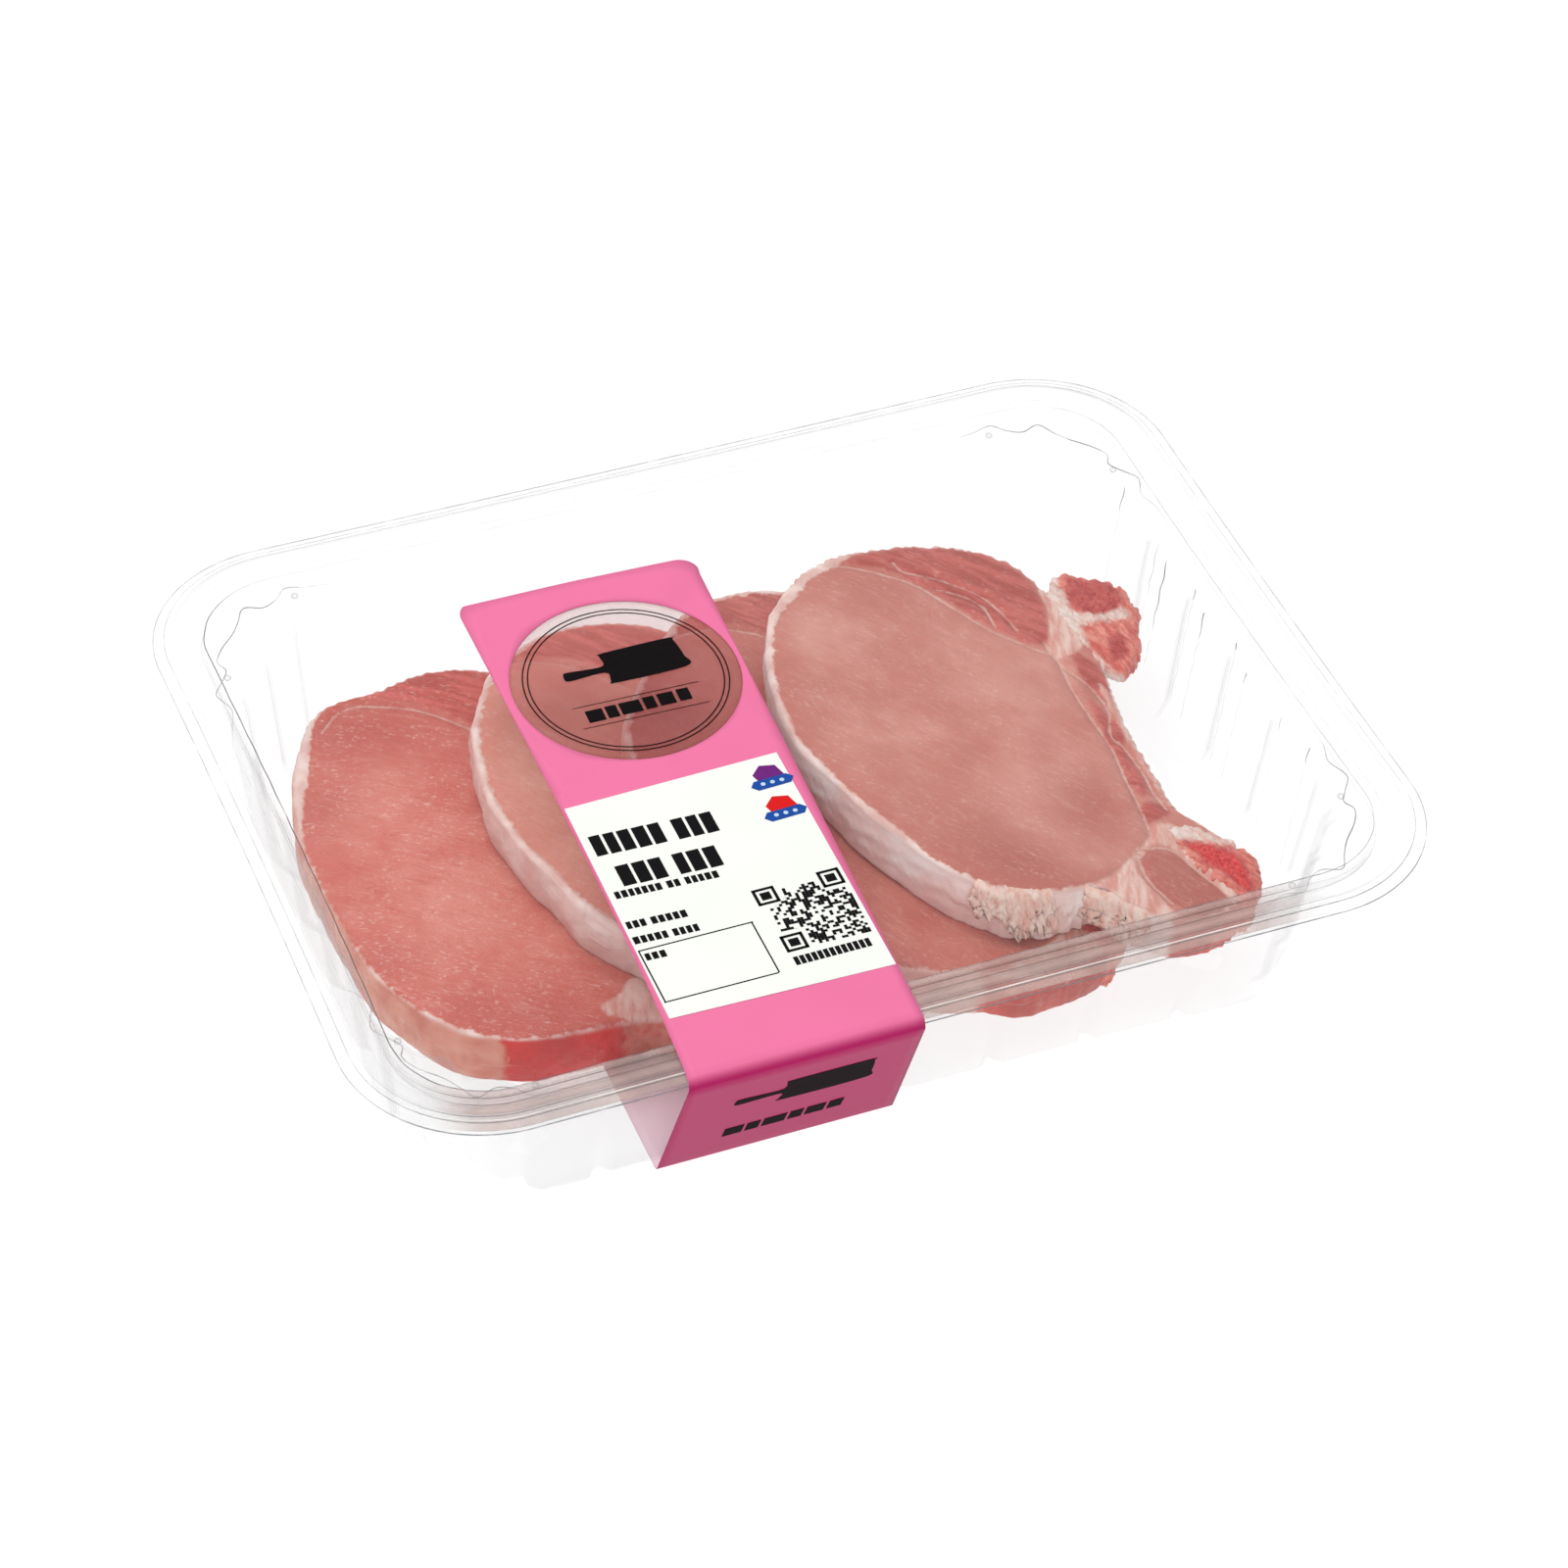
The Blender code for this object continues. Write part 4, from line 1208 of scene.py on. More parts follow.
def build_label(settings):
    """The label as one folded sheet with a round window."""
    columns = 25
    window_end = WINDOW_ALONG + WINDOW_RADIUS[1] + 4.0
    outer = label_outline_top(columns, window_end)
    angles = np.arctan2(WINDOW_ALONG - outer[:, 1], outer[:, 0] - WINDOW_AT[0])
    hole = np.column_stack(window_point(angles))
    rows = [blend(outer, hole, share) for share in (0.0, 0.3, 0.6, 0.85, 1.0)]
    faces = grid_faces(len(rows), len(outer))
    stops = np.concatenate([
        np.linspace(window_end, LABEL_ALONG[1], 30)[1:], LABEL_ALONG[2:7],
        np.linspace(FLAP_FROM, FLAP_TO, 12),
        LABEL_ALONG[9:15], np.linspace(LABEL_ALONG[15], LABEL_ALONG[-1], 8),
    ])
    previous = list(range(columns))
    start = len(rows) * len(outer)
    for along in np.unique(np.round(stops, 4)):
        rows.append(np.column_stack([np.linspace(*label_edges(along), columns), np.full(columns, along)]))
        current = list(range(start, start + columns))
        faces.extend([previous[place], current[place], current[place + 1], previous[place + 1]]
                     for place in range(columns - 1))
        previous = current
        start += columns
    plan = np.vstack(rows)
    points = on_label(plan[:, 0], plan[:, 1])
    top = plan[:, 1] < FLAP_FROM - 4.0
    points[:, 2] += np.where(top, 0.05 * wave_noise(plan, 46.0, 4, 2), 0.0)
    paper = printed_paper("pink_paper", tuple(settings.label_colour), 0.42, 0.012, shaded=FLAP_SHADE_COLOUR)
    # painted shade: the flap field darkens the label from just before the fold down over the front
    flap = smooth(FLAP_FROM - 3.4, FLAP_FROM - 0.4, plan[:, 1])
    piece = make_piece("wrapped_label", points, faces, paper, fields={"flap": flap})
    piece.data.materials.append(printed_paper("paper_back", (0.93, 0.70, 0.79), 0.6, 0.02))
    give_wall(piece, LABEL_THICK, back_material=1)
    attach(piece, "pink_label", "label")
    build_window()
    build_panel()
    build_flap_print()


def join_loops(bm, first, second):
    """Faces between two closed loops of the same count."""
    for place in range(len(first)):
        after = (place + 1) % len(first)
        bm.faces.new([first[place], first[after], second[after], second[place]])


def flat_shape(bm, outline, lift, thick):
    """A thin printed shape, given by its outline on the label, added to a mesh."""
    x, along = np.array(outline, dtype=float).T
    bottom = [bm.verts.new(point) for point in metres(on_label(x, along, lift))]
    top = [bm.verts.new(point) for point in metres(on_label(x, along, lift + thick))]
    bm.faces.new(top)
    bm.faces.new(bottom[::-1])
    join_loops(bm, bottom, top)


def flat_ring(bm, scale_in, scale_out, lift, thick, count=96):
    """A thin printed ring round the window's middle."""
    angles = np.linspace(0.0, 2.0 * math.pi, count, endpoint=False)
    loops = []
    for scale, height in ((scale_out, 0.0), (scale_out, thick), (scale_in, thick), (scale_in, 0.0)):
        x, along = window_point(angles, scale)
        loops.append([bm.verts.new(point) for point in metres(on_label(x, along, lift + height))])
    for first, second in zip(loops, loops[1:] + loops[:1]):
        join_loops(bm, first, second)


def finish_print(name, bm, material):
    """Turns gathered printed shapes into a piece of the label."""
    bmesh.ops.recalc_face_normals(bm, faces=bm.faces)
    mesh = bpy.data.meshes.new(name)
    bm.to_mesh(mesh)
    bm.free()
    mesh.materials.append(material)
    return attach(link_object(name, mesh), "pink_label")


def box_outline(x, along, width, height, tilt=0.0):
    """A rectangle on the label by its left back corner, its sides and a tilt."""
    corners = np.array([(0.0, 0.0), (0.0, height), (width, height), (width, 0.0)])
    turn = np.array([[math.cos(tilt), math.sin(tilt)], [-math.sin(tilt), math.cos(tilt)]])
    return corners @ turn + (x, along)


def disc_outline(x, along, radius, count, start=0.0):
    """A regular outline on the label by its middle."""
    angles = start + np.linspace(0.0, 2.0 * math.pi, count, endpoint=False)
    return np.column_stack([x + radius * np.cos(angles), along + radius * np.sin(angles)])


def cleaver_outline(x, along, scale):
    """A plain cleaver: broad blade and short handle."""
    shape = [
        (-11.0, -1.3), (-10.2, -2.0), (-3.4, -1.5), (-3.0, -4.2), (-2.2, -4.9), (10.4, -4.9), (11.4, -3.9),
        (11.8, 0.6), (11.2, 3.6), (-2.4, 3.6), (-3.2, 2.8), (-3.4, 0.3), (-10.2, 0.4), (-11.0, -0.3),
    ]
    return closed_curve(shape, 90) * scale + (x, along)


def build_window():
    """Clear window with two thin printed rings and a plain motif over two rules."""
    angles = np.linspace(0.0, 2.0 * math.pi, 96, endpoint=False)
    rows = [on_label(*window_point(angles, scale), -0.12) for scale in np.linspace(1.01, 0.05, 14)]
    points = np.vstack(rows + [on_label(np.array([WINDOW_AT[0]]), np.array([WINDOW_ALONG]), -0.12)])
    count = len(angles)
    faces = grid_faces(len(rows), count) + fan(len(points) - 1 - count, count, len(points) - 1)
    points[:, 2] += 0.05 * wave_noise(points[:, :2], 30.0, 9, 2)
    piece = make_piece("label_window", points, faces, window_film(), solid=FILM_THICK)
    attach(piece, "clear_film")
    bm = bmesh.new()
    low = -0.05
    flat_ring(bm, 0.882, 0.894, low, FILM_THICK)
    flat_ring(bm, 0.838, 0.850, low, FILM_THICK)
    flat_shape(bm, cleaver_outline(WINDOW_AT[0] + 0.5, WINDOW_ALONG - 3.6, 1.12), low, FILM_THICK)
    blocks = [(x, 6.6, width, 3.6) for x, width in WINDOW_BLOCKS]
    rules = [(-13.4, along, 27.0, 0.16) for along in (4.9, 11.4)]
    for x, along, width, height in blocks + rules:
        outline = box_outline(WINDOW_AT[0] + x, WINDOW_ALONG + along, width, height, 0.03)
        flat_shape(bm, outline, low, FILM_THICK)
    finish_print("window_print", bm, ink("black_ink", paint(18, 14, 16)))


def glyph_row(bm, x, along, widths, height, gap, tilt):
    """A row of plain upright blocks; a width below 0 is a space."""
    for width in widths:
        if width < 0.0:
            x -= width
            continue
        place = along - (x + 50.0) * math.tan(tilt)
        flat_shape(bm, box_outline(x, place, width, height), PANEL_TOP, PRINT_THICK)
        x += width + gap


def build_panel():
    """White panel with rules, blocks, an empty frame, two badges and a code block."""
    bm = bmesh.new()
    panel = [(x, LABEL_BACK + along) for x, along in PANEL_CORNERS]
    flat_shape(bm, panel, 0.02, 0.08)
    finish_print("white_panel", bm, printed_paper("white_paper", paint(250, 252, 246), 0.5, 0.006))
    black = ink("text_black", paint(22, 20, 22))
    bm = bmesh.new()
    rng = np.random.RandomState(11)
    for x, along, height, width, gap, words in PANEL_ROWS:
        widths = []
        for word in words:
            widths.extend(width * rng.uniform(0.86, 1.08) for _ in range(word))
            widths.append(-width * 0.7)
        glyph_row(bm, x, LABEL_BACK + along, widths[:-1], height, gap, math.radians(-3.0))
    for x, along, width, height in PANEL_FRAME:
        flat_shape(bm, box_outline(x, LABEL_BACK + along, width, height), PANEL_TOP, PRINT_THICK)
    glyph_row(bm, -22.9, LABEL_BACK + 64.9, [0.95] * 13, 2.3, 0.28, 0.0)
    finish_print("panel_print", bm, black)
    build_badge("badge_plum", -8.3, LABEL_BACK + 15.5, paint(116, 42, 128))
    build_badge("badge_red", -9.1, LABEL_BACK + 24.8, paint(228, 34, 34))
    build_code_block(black)


def build_badge(name, x, along, colour):
    """A six-sided spot over a blue lozenge with dots."""
    bm = bmesh.new()
    flat_shape(bm, disc_outline(x, along - 0.6, 3.2, 6, start=0.25), PANEL_TOP, PRINT_THICK)
    finish_print(name, bm, ink(name + "_ink", colour))
    bm = bmesh.new()
    lozenge = [(-4.6, 1.9), (-3.6, 0.5), (3.4, 0.2), (4.6, 1.4), (3.6, 2.9), (-3.4, 3.2)]
    flat_shape(bm, np.array(lozenge) + (x, along), PANEL_TOP + PRINT_THICK, PRINT_THICK)
    finish_print(name + "_lozenge", bm, ink(name + "_lozenge_ink", paint(34, 82, 168)))
    bm = bmesh.new()
    for spot in (-2.0, 0.0, 2.0):
        dot = disc_outline(x + spot, along + 1.7, 0.5, 12)
        flat_shape(bm, dot, PANEL_TOP + 2.0 * PRINT_THICK, PRINT_THICK)
    finish_print(name + "_dots", bm, ink(name + "_dots_ink", paint(206, 226, 246)))


def code_group():
    """A square grid of small blocks with a fixed random share left out."""
    inputs = (("Size", "Float"), ("Cells", "Int"), ("Seed", "Int"))
    tree, start, names = node_group("code_block", inputs, "Blocks")
    grid = tree.nodes.new("GeometryNodeMeshGrid")
    chance = tree.nodes.new("FunctionNodeRandomValue")
    chance.data_type = "BOOLEAN"
    chance.inputs["Probability"].default_value = 0.5
    chosen = list(chance.outputs).index(next(socket for socket in chance.outputs if socket.enabled))
    cube = tree.nodes.new("GeometryNodeMeshCube")
    side = tree.nodes.new("ShaderNodeMath")
    side.operation = "DIVIDE"
    sides = tree.nodes.new("ShaderNodeCombineXYZ")
    sides.inputs["Z"].default_value = PRINT_THICK * MM
    spread = tree.nodes.new("GeometryNodeInstanceOnPoints")
    join_nodes(tree, (start, "Size", grid, "Size X"), (start, "Size", grid, "Size Y"),
               (start, "Cells", grid, "Vertices X"), (start, "Cells", grid, "Vertices Y"),
               (start, "Seed", chance, "Seed"), (start, "Size", side, 0), (start, "Cells", side, 1),
               (side, 0, sides, "X"), (side, 0, sides, "Y"), (sides, 0, cube, "Size"),
               (grid, 0, spread, "Points"), (chance, chosen, spread, "Selection"),
               (cube, 0, spread, "Instance"))
    close_group(tree, start, spread)
    return tree, names


def build_code_block(material):
    """A plain square field of dots where the code stands, and three framed corner squares."""
    mesh = bpy.data.meshes.new("code_dots")
    piece = run_group("code_dots", mesh, code_group(), material,
                      Size=CODE_SIZE * MM, Cells=CODE_CELLS, Seed=CODE_SEED)
    middle = on_label(-13.9, LABEL_BACK + 54.9, PANEL_TOP + 0.02)
    turn = Matrix.Rotation(math.radians(-2.0), 4, "Z")
    piece.data.transform(Matrix.Translation(Vector(metres(middle))) @ turn)
    bm = bmesh.new()
    bm.from_mesh(piece.data)
    keep_clear = [Vector(metres(on_label(x, LABEL_BACK + along))) for x, along in CODE_CORNERS]
    away = [v for v in bm.verts if min((v.co.xy - spot.xy).length for spot in keep_clear) < 3.1 * MM]
    bmesh.ops.delete(bm, geom=away, context="VERTS")
    bm.to_mesh(piece.data)
    bm.free()
    attach(piece, "pink_label")
    bm = bmesh.new()
    for x, along in CODE_CORNERS:
        for bar_x, bar_along, width, height in CODE_CORNER_BARS:
            outline = box_outline(x + bar_x, LABEL_BACK + along + bar_along, width, height)
            flat_shape(bm, outline, PANEL_TOP, PRINT_THICK)
    finish_print("code_corners", bm, material)


def build_flap_print():
    """Plain motif and a row of blocks on the front flap."""
    bm = bmesh.new()
    x = -27.6
    flat_shape(bm, cleaver_outline(x, blend(FLAP_FROM, FLAP_TO, 0.36), 1.25), 0.02, 0.05)
    along = blend(FLAP_FROM, FLAP_TO, 0.68)
    for block_x, width in FLAP_BLOCKS:
        flat_shape(bm, box_outline(x + block_x, along, width, 4.4), 0.02, 0.05)
    finish_print("flap_print", bm, ink("flap_black", paint(24, 12, 18)))


# ---------------------------------------------------------------- chops

def second_underside(x):
    """Lower face of the second chop, which leans on the first."""
    return 15.0 - 0.118 * (x + 58.0) - 0.13 * np.maximum(0.0, x + 27.0)


def third_underside(x):
    """Lower face of the third chop, which leans on the second."""
    return 24.4 - 0.25 * (x + 27.0)


def base_under(x):
    """The tray's floor under the meat."""
    return 0.7 + pad_rise(x)


def underside(number, x):
    """Lower face of each chop along the tray."""
    if number == 1:
        return base_under(x) + 0.15
    if number == 2:
        return np.maximum(second_underside(x), base_under(x))
    if number == 3:
        return np.maximum(third_underside(x), base_under(x))
    return np.maximum(third_underside(x) + CHOP_THICK + STEP_ON_CHOP, base_under(x))


def topside(number, x):
    """Upper face of each chop along the tray."""
    if number == 1:
        return np.minimum(14.3, second_underside(x) - STEP_ON_CHOP)
    if number == 2:
        return np.minimum(second_underside(x) + CHOP_THICK, third_underside(x) - STEP_ON_CHOP)
    if number == 3:
        return third_underside(x) + CHOP_THICK
    return third_underside(x) + 2.0 * CHOP_THICK + STEP_ON_CHOP - 0.5


CHOP_OUTLINES = {
    1: (
        (-93.4, 15.6), (-93.2, 30.0), (-90.8, 42.8), (-86.3, 55.0), (-79.5, 65.6), (-72.5, 69.0),
        (-64.0, 69.2), (-55.0, 71.4), (-46.0, 71.6), (-36.0, 67.5), (-27.0, 58.0), (-20.0, 44.0),
        (-16.0, 28.0), (-15.0, 8.0), (-16.5, -12.0), (-16.0, -30.0), (-12.0, -42.0), (-20.0, -49.0),
        (-33.0, -47.0), (-42.5, -42.6), (-50.0, -42.0), (-57.4, -41.6), (-66.4, -40.0), (-73.0, -37.6),
        (-79.5, -33.4), (-85.6, -25.5), (-90.6, -13.0), (-93.0, 2.0),
    ),
    2: (
        (-57.3, 15.4), (-56.3, 25.9), (-54.4, 34.0), (-50.4, 43.8), (-44.2, 53.7), (-33.5, 61.8),
        (-22.0, 66.3), (-10.0, 67.2), (0.0, 63.4), (8.0, 54.0), (13.0, 40.0), (15.5, 24.0), (15.0, 4.0),
        (14.6, -18.0), (17.0, -34.0), (18.5, -46.0), (8.0, -54.0), (-6.0, -54.0), (-20.0, -48.5),
        (-32.0, -40.0), (-41.0, -32.0), (-46.0, -26.3), (-50.2, -18.8), (-53.0, -7.9), (-56.2, 3.3),
    ),
    3: (
        (-29.6, 4.0), (-28.0, 15.4), (-22.4, 26.0), (-17.0, 34.0), (-10.1, 43.5), (-3.0, 51.5), (5.5, 57.8),
        (16.0, 60.5), (27.0, 59.5), (38.0, 55.0), (45.0, 46.0), (48.5, 32.0), (48.0, 12.0), (46.5, -8.0),
        (48.0, -26.0), (55.0, -40.0), (57.0, -50.0), (49.5, -57.5), (40.0, -62.6), (27.0, -66.0),
        (19.0, -64.0), (8.0, -62.5), (-3.0, -57.0), (-12.0, -48.0), (-20.0, -36.0), (-25.5, -22.0),
        (-28.6, -8.0),
    ),
    4: (
        (1.6, -1.8), (3.3, 13.0), (8.4, 28.6), (14.4, 39.8), (23.4, 49.6), (33.8, 56.0), (44.0, 58.9),
        (54.0, 59.5), (64.0, 58.2), (71.5, 55.4), (76.3, 50.5), (78.6, 43.0), (81.5, 37.0), (82.5, 28.0),
        (80.6, 15.0), (78.6, 6.0), (77.2, -2.5), (76.6, -13.4), (75.8, -25.1), (76.2, -32.0), (80.0, -38.0),
        (83.5, -44.5), (82.5, -52.5), (77.0, -59.6), (69.0, -63.6), (60.5, -64.8), (55.5, -62.4),
        (51.0, -57.5), (47.8, -53.2), (40.1, -54.2), (33.0, -54.0), (26.5, -52.2), (20.6, -47.8),
        (15.6, -41.4), (10.4, -31.0), (6.4, -20.7), (3.2, -10.5),
    ),
}
CHOP_MIDDLES = {1: (-55.0, 12.0), 2: (-19.0, 8.0), 3: (12.0, 0.0), 4: (44.0, -2.0)}
CHOP_SEAMS = {
    1: (
        (
            (-79.0, 60.5), (-74.0, 65.0), (-69.3, 65.6), (-64.7, 63.8), (-57.7, 60.1), (-51.1, 53.6),
            (-45.0, 47.0),
        ),
    ),
    2: (((-42.0, 55.5), (-34.0, 56.0), (-24.0, 51.0), (-14.0, 43.0), (-6.0, 34.0), (2.0, 26.0)),),
    3: (((-8.0, 45.0), (2.0, 48.0), (12.0, 46.0), (22.0, 38.0), (32.0, 28.0)),),
    4: (
        (
            (31.5, 53.4), (36.2, 53.0), (42.0, 50.4), (49.6, 44.9), (55.3, 36.9), (59.9, 30.0),
            (66.0, 24.4), (70.1, 21.2),
        ),
        ((47.4, 53.5), (48.6, 50.0), (55.1, 47.2), (62.2, 42.1), (65.4, 35.0), (66.4, 29.4)),
        ((53.7, 43.8), (58.7, 41.3), (61.8, 37.5), (61.9, 30.7)),
        (
            (70.8, 25.5), (71.3, 20.1), (70.2, 9.8), (69.9, -0.5), (70.2, -10.8), (68.7, -21.7),
            (67.7, -31.5), (66.2, -39.2),
        ),
        (
            (70.6, 23.4), (71.6, 15.9), (74.5, 9.5), (75.0, 1.2), (72.0, -6.8), (73.0, -10.9),
            (73.5, -19.1), (73.1, -26.0), (73.6, -31.0),
        ),
        ((66.2, -39.2), (61.5, -43.6), (56.0, -47.6), (50.0, -51.0), (44.0, -52.6)),
        (
            (60.3, -45.8), (63.8, -43.2), (67.8, -43.0), (70.0, -45.4), (71.3, -49.4), (74.3, -56.3),
            (75.6, -61.0),
        ),
        ((60.3, -45.8), (59.5, -50.0), (59.6, -54.0), (61.6, -59.6)),
    ),
}
# smooth darker muscle beside the rib of the top chop
ROUND_MUSCLE = (
    (60.3, -45.8), (63.8, -43.2), (67.8, -43.0), (70.0, -45.4), (71.3, -49.4), (74.3, -56.3), (75.6, -61.0),
    (70.0, -63.4), (64.3, -63.0), (61.6, -59.6), (59.6, -54.0),
)
RED_ZONES = {
    1: (
        (
            (-76.0, 66.5), (-68.0, 67.5), (-58.0, 63.0), (-50.0, 55.0), (-43.0, 48.0), (-34.0, 56.0),
            (-42.0, 70.0), (-60.0, 70.0),
        ),
    ),
    2: (
        (
            (-36.0, 59.0), (-24.0, 54.0), (-12.0, 46.0), (-2.0, 36.0), (8.0, 44.0), (2.0, 60.0),
            (-14.0, 66.0), (-28.0, 64.0),
        ),
    ),
    3: (
        (
            (-4.0, 48.0), (10.0, 49.0), (24.0, 40.0), (38.0, 30.0), (44.0, 44.0), (32.0, 56.0),
            (14.0, 59.5), (2.0, 55.0),
        ),
    ),
    4: (
        (
            (37.0, 54.6), (45.0, 50.6), (53.0, 42.0), (60.0, 31.6), (68.0, 24.6), (72.6, 26.5),
            (75.4, 36.0), (76.4, 44.0), (74.2, 51.0), (68.0, 56.0), (57.0, 58.0), (46.0, 57.4),
        ),
        ((75.6, 21.0), (79.4, 15.0), (78.4, 6.0), (76.2, 2.4), (74.6, 8.0), (74.2, 15.0)),
        ((72.0, 4.0), (74.5, -1.4), (76.3, -3.0), (73.3, -11.0), (70.2, -13.7), (70.6, -6.0)),
        ((71.6, -10.9), (73.3, -15.0), (72.2, -24.9), (69.9, -26.8), (69.2, -20.7)),
        ((68.6, -29.6), (73.4, -30.0), (73.4, -33.0), (67.3, -35.4)),
    ),
}
FAT_ZONES = {
    1: (((-52.0, -38.0), (-47.0, -34.0), (-42.0, -30.0), (-34.0, -34.0), (-30.0, -44.0), (-42.0, -44.0)),),
    2: (),
    3: (((20.0, -66.0), (34.0, -58.0), (48.0, -50.0), (44.0, -62.0), (30.0, -66.0)),),
    4: (
        (
            (77.8, 43.6), (83.0, 42.0), (82.0, 34.3), (83.0, 27.6), (77.6, 21.4), (72.3, 19.1),
            (70.6, 21.6), (73.4, 28.0), (76.4, 36.0),
        ),
        (
            (65.6, -39.4), (68.9, -36.0), (73.0, -37.0), (71.6, -41.5), (74.0, -48.0), (77.5, -57.0),
            (75.9, -60.0), (72.2, -50.0), (68.6, -42.6), (63.0, -42.4), (59.4, -46.0), (58.6, -54.0),
            (61.0, -64.5), (55.0, -63.0), (49.0, -56.0), (46.0, -53.6), (54.0, -49.0), (60.0, -44.0),
        ),
        (
            (77.5, 10.0), (78.2, 2.0), (77.0, -12.0), (76.2, -28.0), (74.4, -29.0), (74.6, -14.0),
            (75.6, 0.0), (76.4, 8.0),
        ),
    ),
}


def zone_distance(plan, zones, far=40.0):
    """Depth inside the nearest of several closed patches, and no less than -far outside them."""
    depth = np.full(len(plan), -far)
    for zone in zones:
        depth = np.maximum(depth, inside_distance(plan, closed_curve(zone, 90)))
    return depth


def chop_fields(number, plan):
    """Distances that the meat's finish reads: seams, outline, redder and fatter parts."""
    seam = np.full(len(plan), 40.0)
    for line in CHOP_SEAMS[number]:
        seam = np.minimum(seam, distance_to_line(plan, open_curve(line, 60)))
    shade = shade_spots(number, plan)
    if number == 4:
        shade = np.maximum(shade, smooth(-0.2, 0.5, zone_distance(plan, [ROUND_MUSCLE])))
    return {
        "seam": seam,
        "edge": inside_distance(plan, closed_curve(CHOP_OUTLINES[number], 260)),
        "red": zone_distance(plan, RED_ZONES[number]),
        "fat": zone_distance(plan, FAT_ZONES[number]),
        "rim": rim_width(number, plan),
        "shade": shade,
    }


def rim_width(number, plan):
    """How wide the white fat is along a chop's upper edge."""
    x, y = plan[:, 0], plan[:, 1]
    if number == 1:
        back = 2.8 * smooth(-76.0, -86.0, x) * smooth(26.0, 50.0, y)
        return 0.5 + back + 0.4 * smooth(-70.0, -74.0, x) * smooth(-20.0, -30.0, y)
    if number == 2:
        return 0.9 + 0.9 * smooth(-25.0, -40.0, x)
    if number == 3:
        return 0.8 + 0.8 * smooth(-5.0, -20.0, x) + 1.1 * smooth(38.0, 46.0, y)
    left = smooth(46.0, 30.0, x)
    front = 0.5 * smooth(-38.0, -48.0, y) * smooth(62.0, 54.0, x)
    back = 0.5 * smooth(48.0, 55.0, y)
    corner = smooth(28.0, 22.0, x) * smooth(34.0, 44.0, y) + smooth(46.0, 52.0, y) * smooth(42.0, 34.0, x)
    left *= 1.15 * smooth(-46.0, -34.0, y) + 1.5 * np.clip(corner, 0.0, 1.0)
    return 0.45 + left + front + back


# broad darker patches of the lean: x, y, size and strength
SHADES = {
    1: (
        (-64.0, 57.0, 14.0, 0.8), (-77.0, 58.0, 10.0, 0.5), (-86.0, 38.0, 9.0, 0.7),
        (-36.0, 30.0, 12.0, 0.3), (-88.0, -10.0, 8.0, 0.5), (-76.0, -28.0, 8.0, 0.6),
        (-62.0, -35.0, 9.0, 0.7),
    ),
    2: ((-30.0, 50.0, 10.0, 0.4), (-36.0, 34.0, 11.0, 0.5), (-18.0, 18.0, 12.0, 0.5)),
    3: ((-14.0, 14.0, 12.0, 0.7), (20.0, 50.0, 14.0, 0.4), (30.0, -50.0, 14.0, 0.3)),
    4: (
        (28.0, -40.0, 12.0, 0.8), (38.0, -48.0, 9.0, 0.7), (56.0, -34.0, 10.0, 0.6),
        (60.0, -24.0, 8.0, 0.5), (41.0, 45.0, 9.0, 0.55), (62.0, 10.0, 8.0, 0.25), (12.0, 10.0, 7.0, 0.35),
        (14.0, -26.0, 7.0, 0.3), (73.5, 6.0, 4.0, 0.5), (74.5, -22.0, 4.0, 0.5), (70.0, 40.0, 8.0, 0.5),
    ),
}


def shade_spots(number, plan):
    """Broad darker patches of the lean."""
    total = np.zeros(len(plan))
    for x, y, size, strength in SHADES[number]:
        total += strength * np.exp(-((plan[:, 0] - x) ** 2 + (plan[:, 1] - y) ** 2) / (size * size))
    return np.clip(total, 0.0, 1.0)


# torn fat at a chop's edge: x, y, half width along the edge, and how far it stands out
TEARS = {
    1: ((-74.0, -36.5, 3.0, 0.9), (-46.0, -37.0, 2.6, 0.8)),
    2: ((-47.0, -24.0, 3.0, 0.5),),
    3: ((24.0, -65.0, 3.5, 1.0), (45.0, -60.0, 3.0, 1.0)),
    4: ((27.5, -52.6, 3.4, 0.5), (48.5, -53.4, 3.2, 0.6), (20.5, -47.6, 2.0, 0.5)),
}


def tear_shape(number, outline):
    """How far torn fat stands out along the outline."""
    total = np.zeros(len(outline))
    for x, y, reach, out in TEARS[number]:
        away = np.hypot(outline[:, 0] - x, outline[:, 1] - y)
        total = np.maximum(total, out * np.exp(-(away / reach) ** 4))
    return total


def raggedness(number, outline):
    """Small tears of the outline, strongest along the back edge where the meat was sawn."""
    fine = wave_noise(outline, 2.1, number + 80, 3) + 0.8 * np.abs(wave_noise(outline, 3.6, number + 90, 2))
    back = smooth(44.0, 54.0, outline[:, 1]) + (smooth(66.0, 74.0, outline[:, 0]) if number == 4 else 0.0)
    return fine * (0.08 + (0.34 if number == 4 else 0.14) * np.clip(back, 0.0, 1.0))


def side_folds(number, outline):
    """Upright folds where the fat of the top chop's front side has been pulled."""
    if number != 4:
        return np.zeros(len(outline))
    x, y = outline[:, 0], outline[:, 1]
    where = smooth(16.0, 24.0, x) * (1.0 - smooth(56.0, 60.0, x)) * smooth(-40.0, -48.0, y)
    return where * (0.5 * wave_noise(outline, 3.2, 131, 2) + 0.2)


def side_spread(number, outline):
    """How far the foot of the top chop's front side spreads outwards."""
    if number != 4:
        return np.zeros(len(outline))
    return 2.1 * smooth(4.0, -24.0, outline[:, 1]) * (1.0 - smooth(34.0, 46.0, outline[:, 0]))


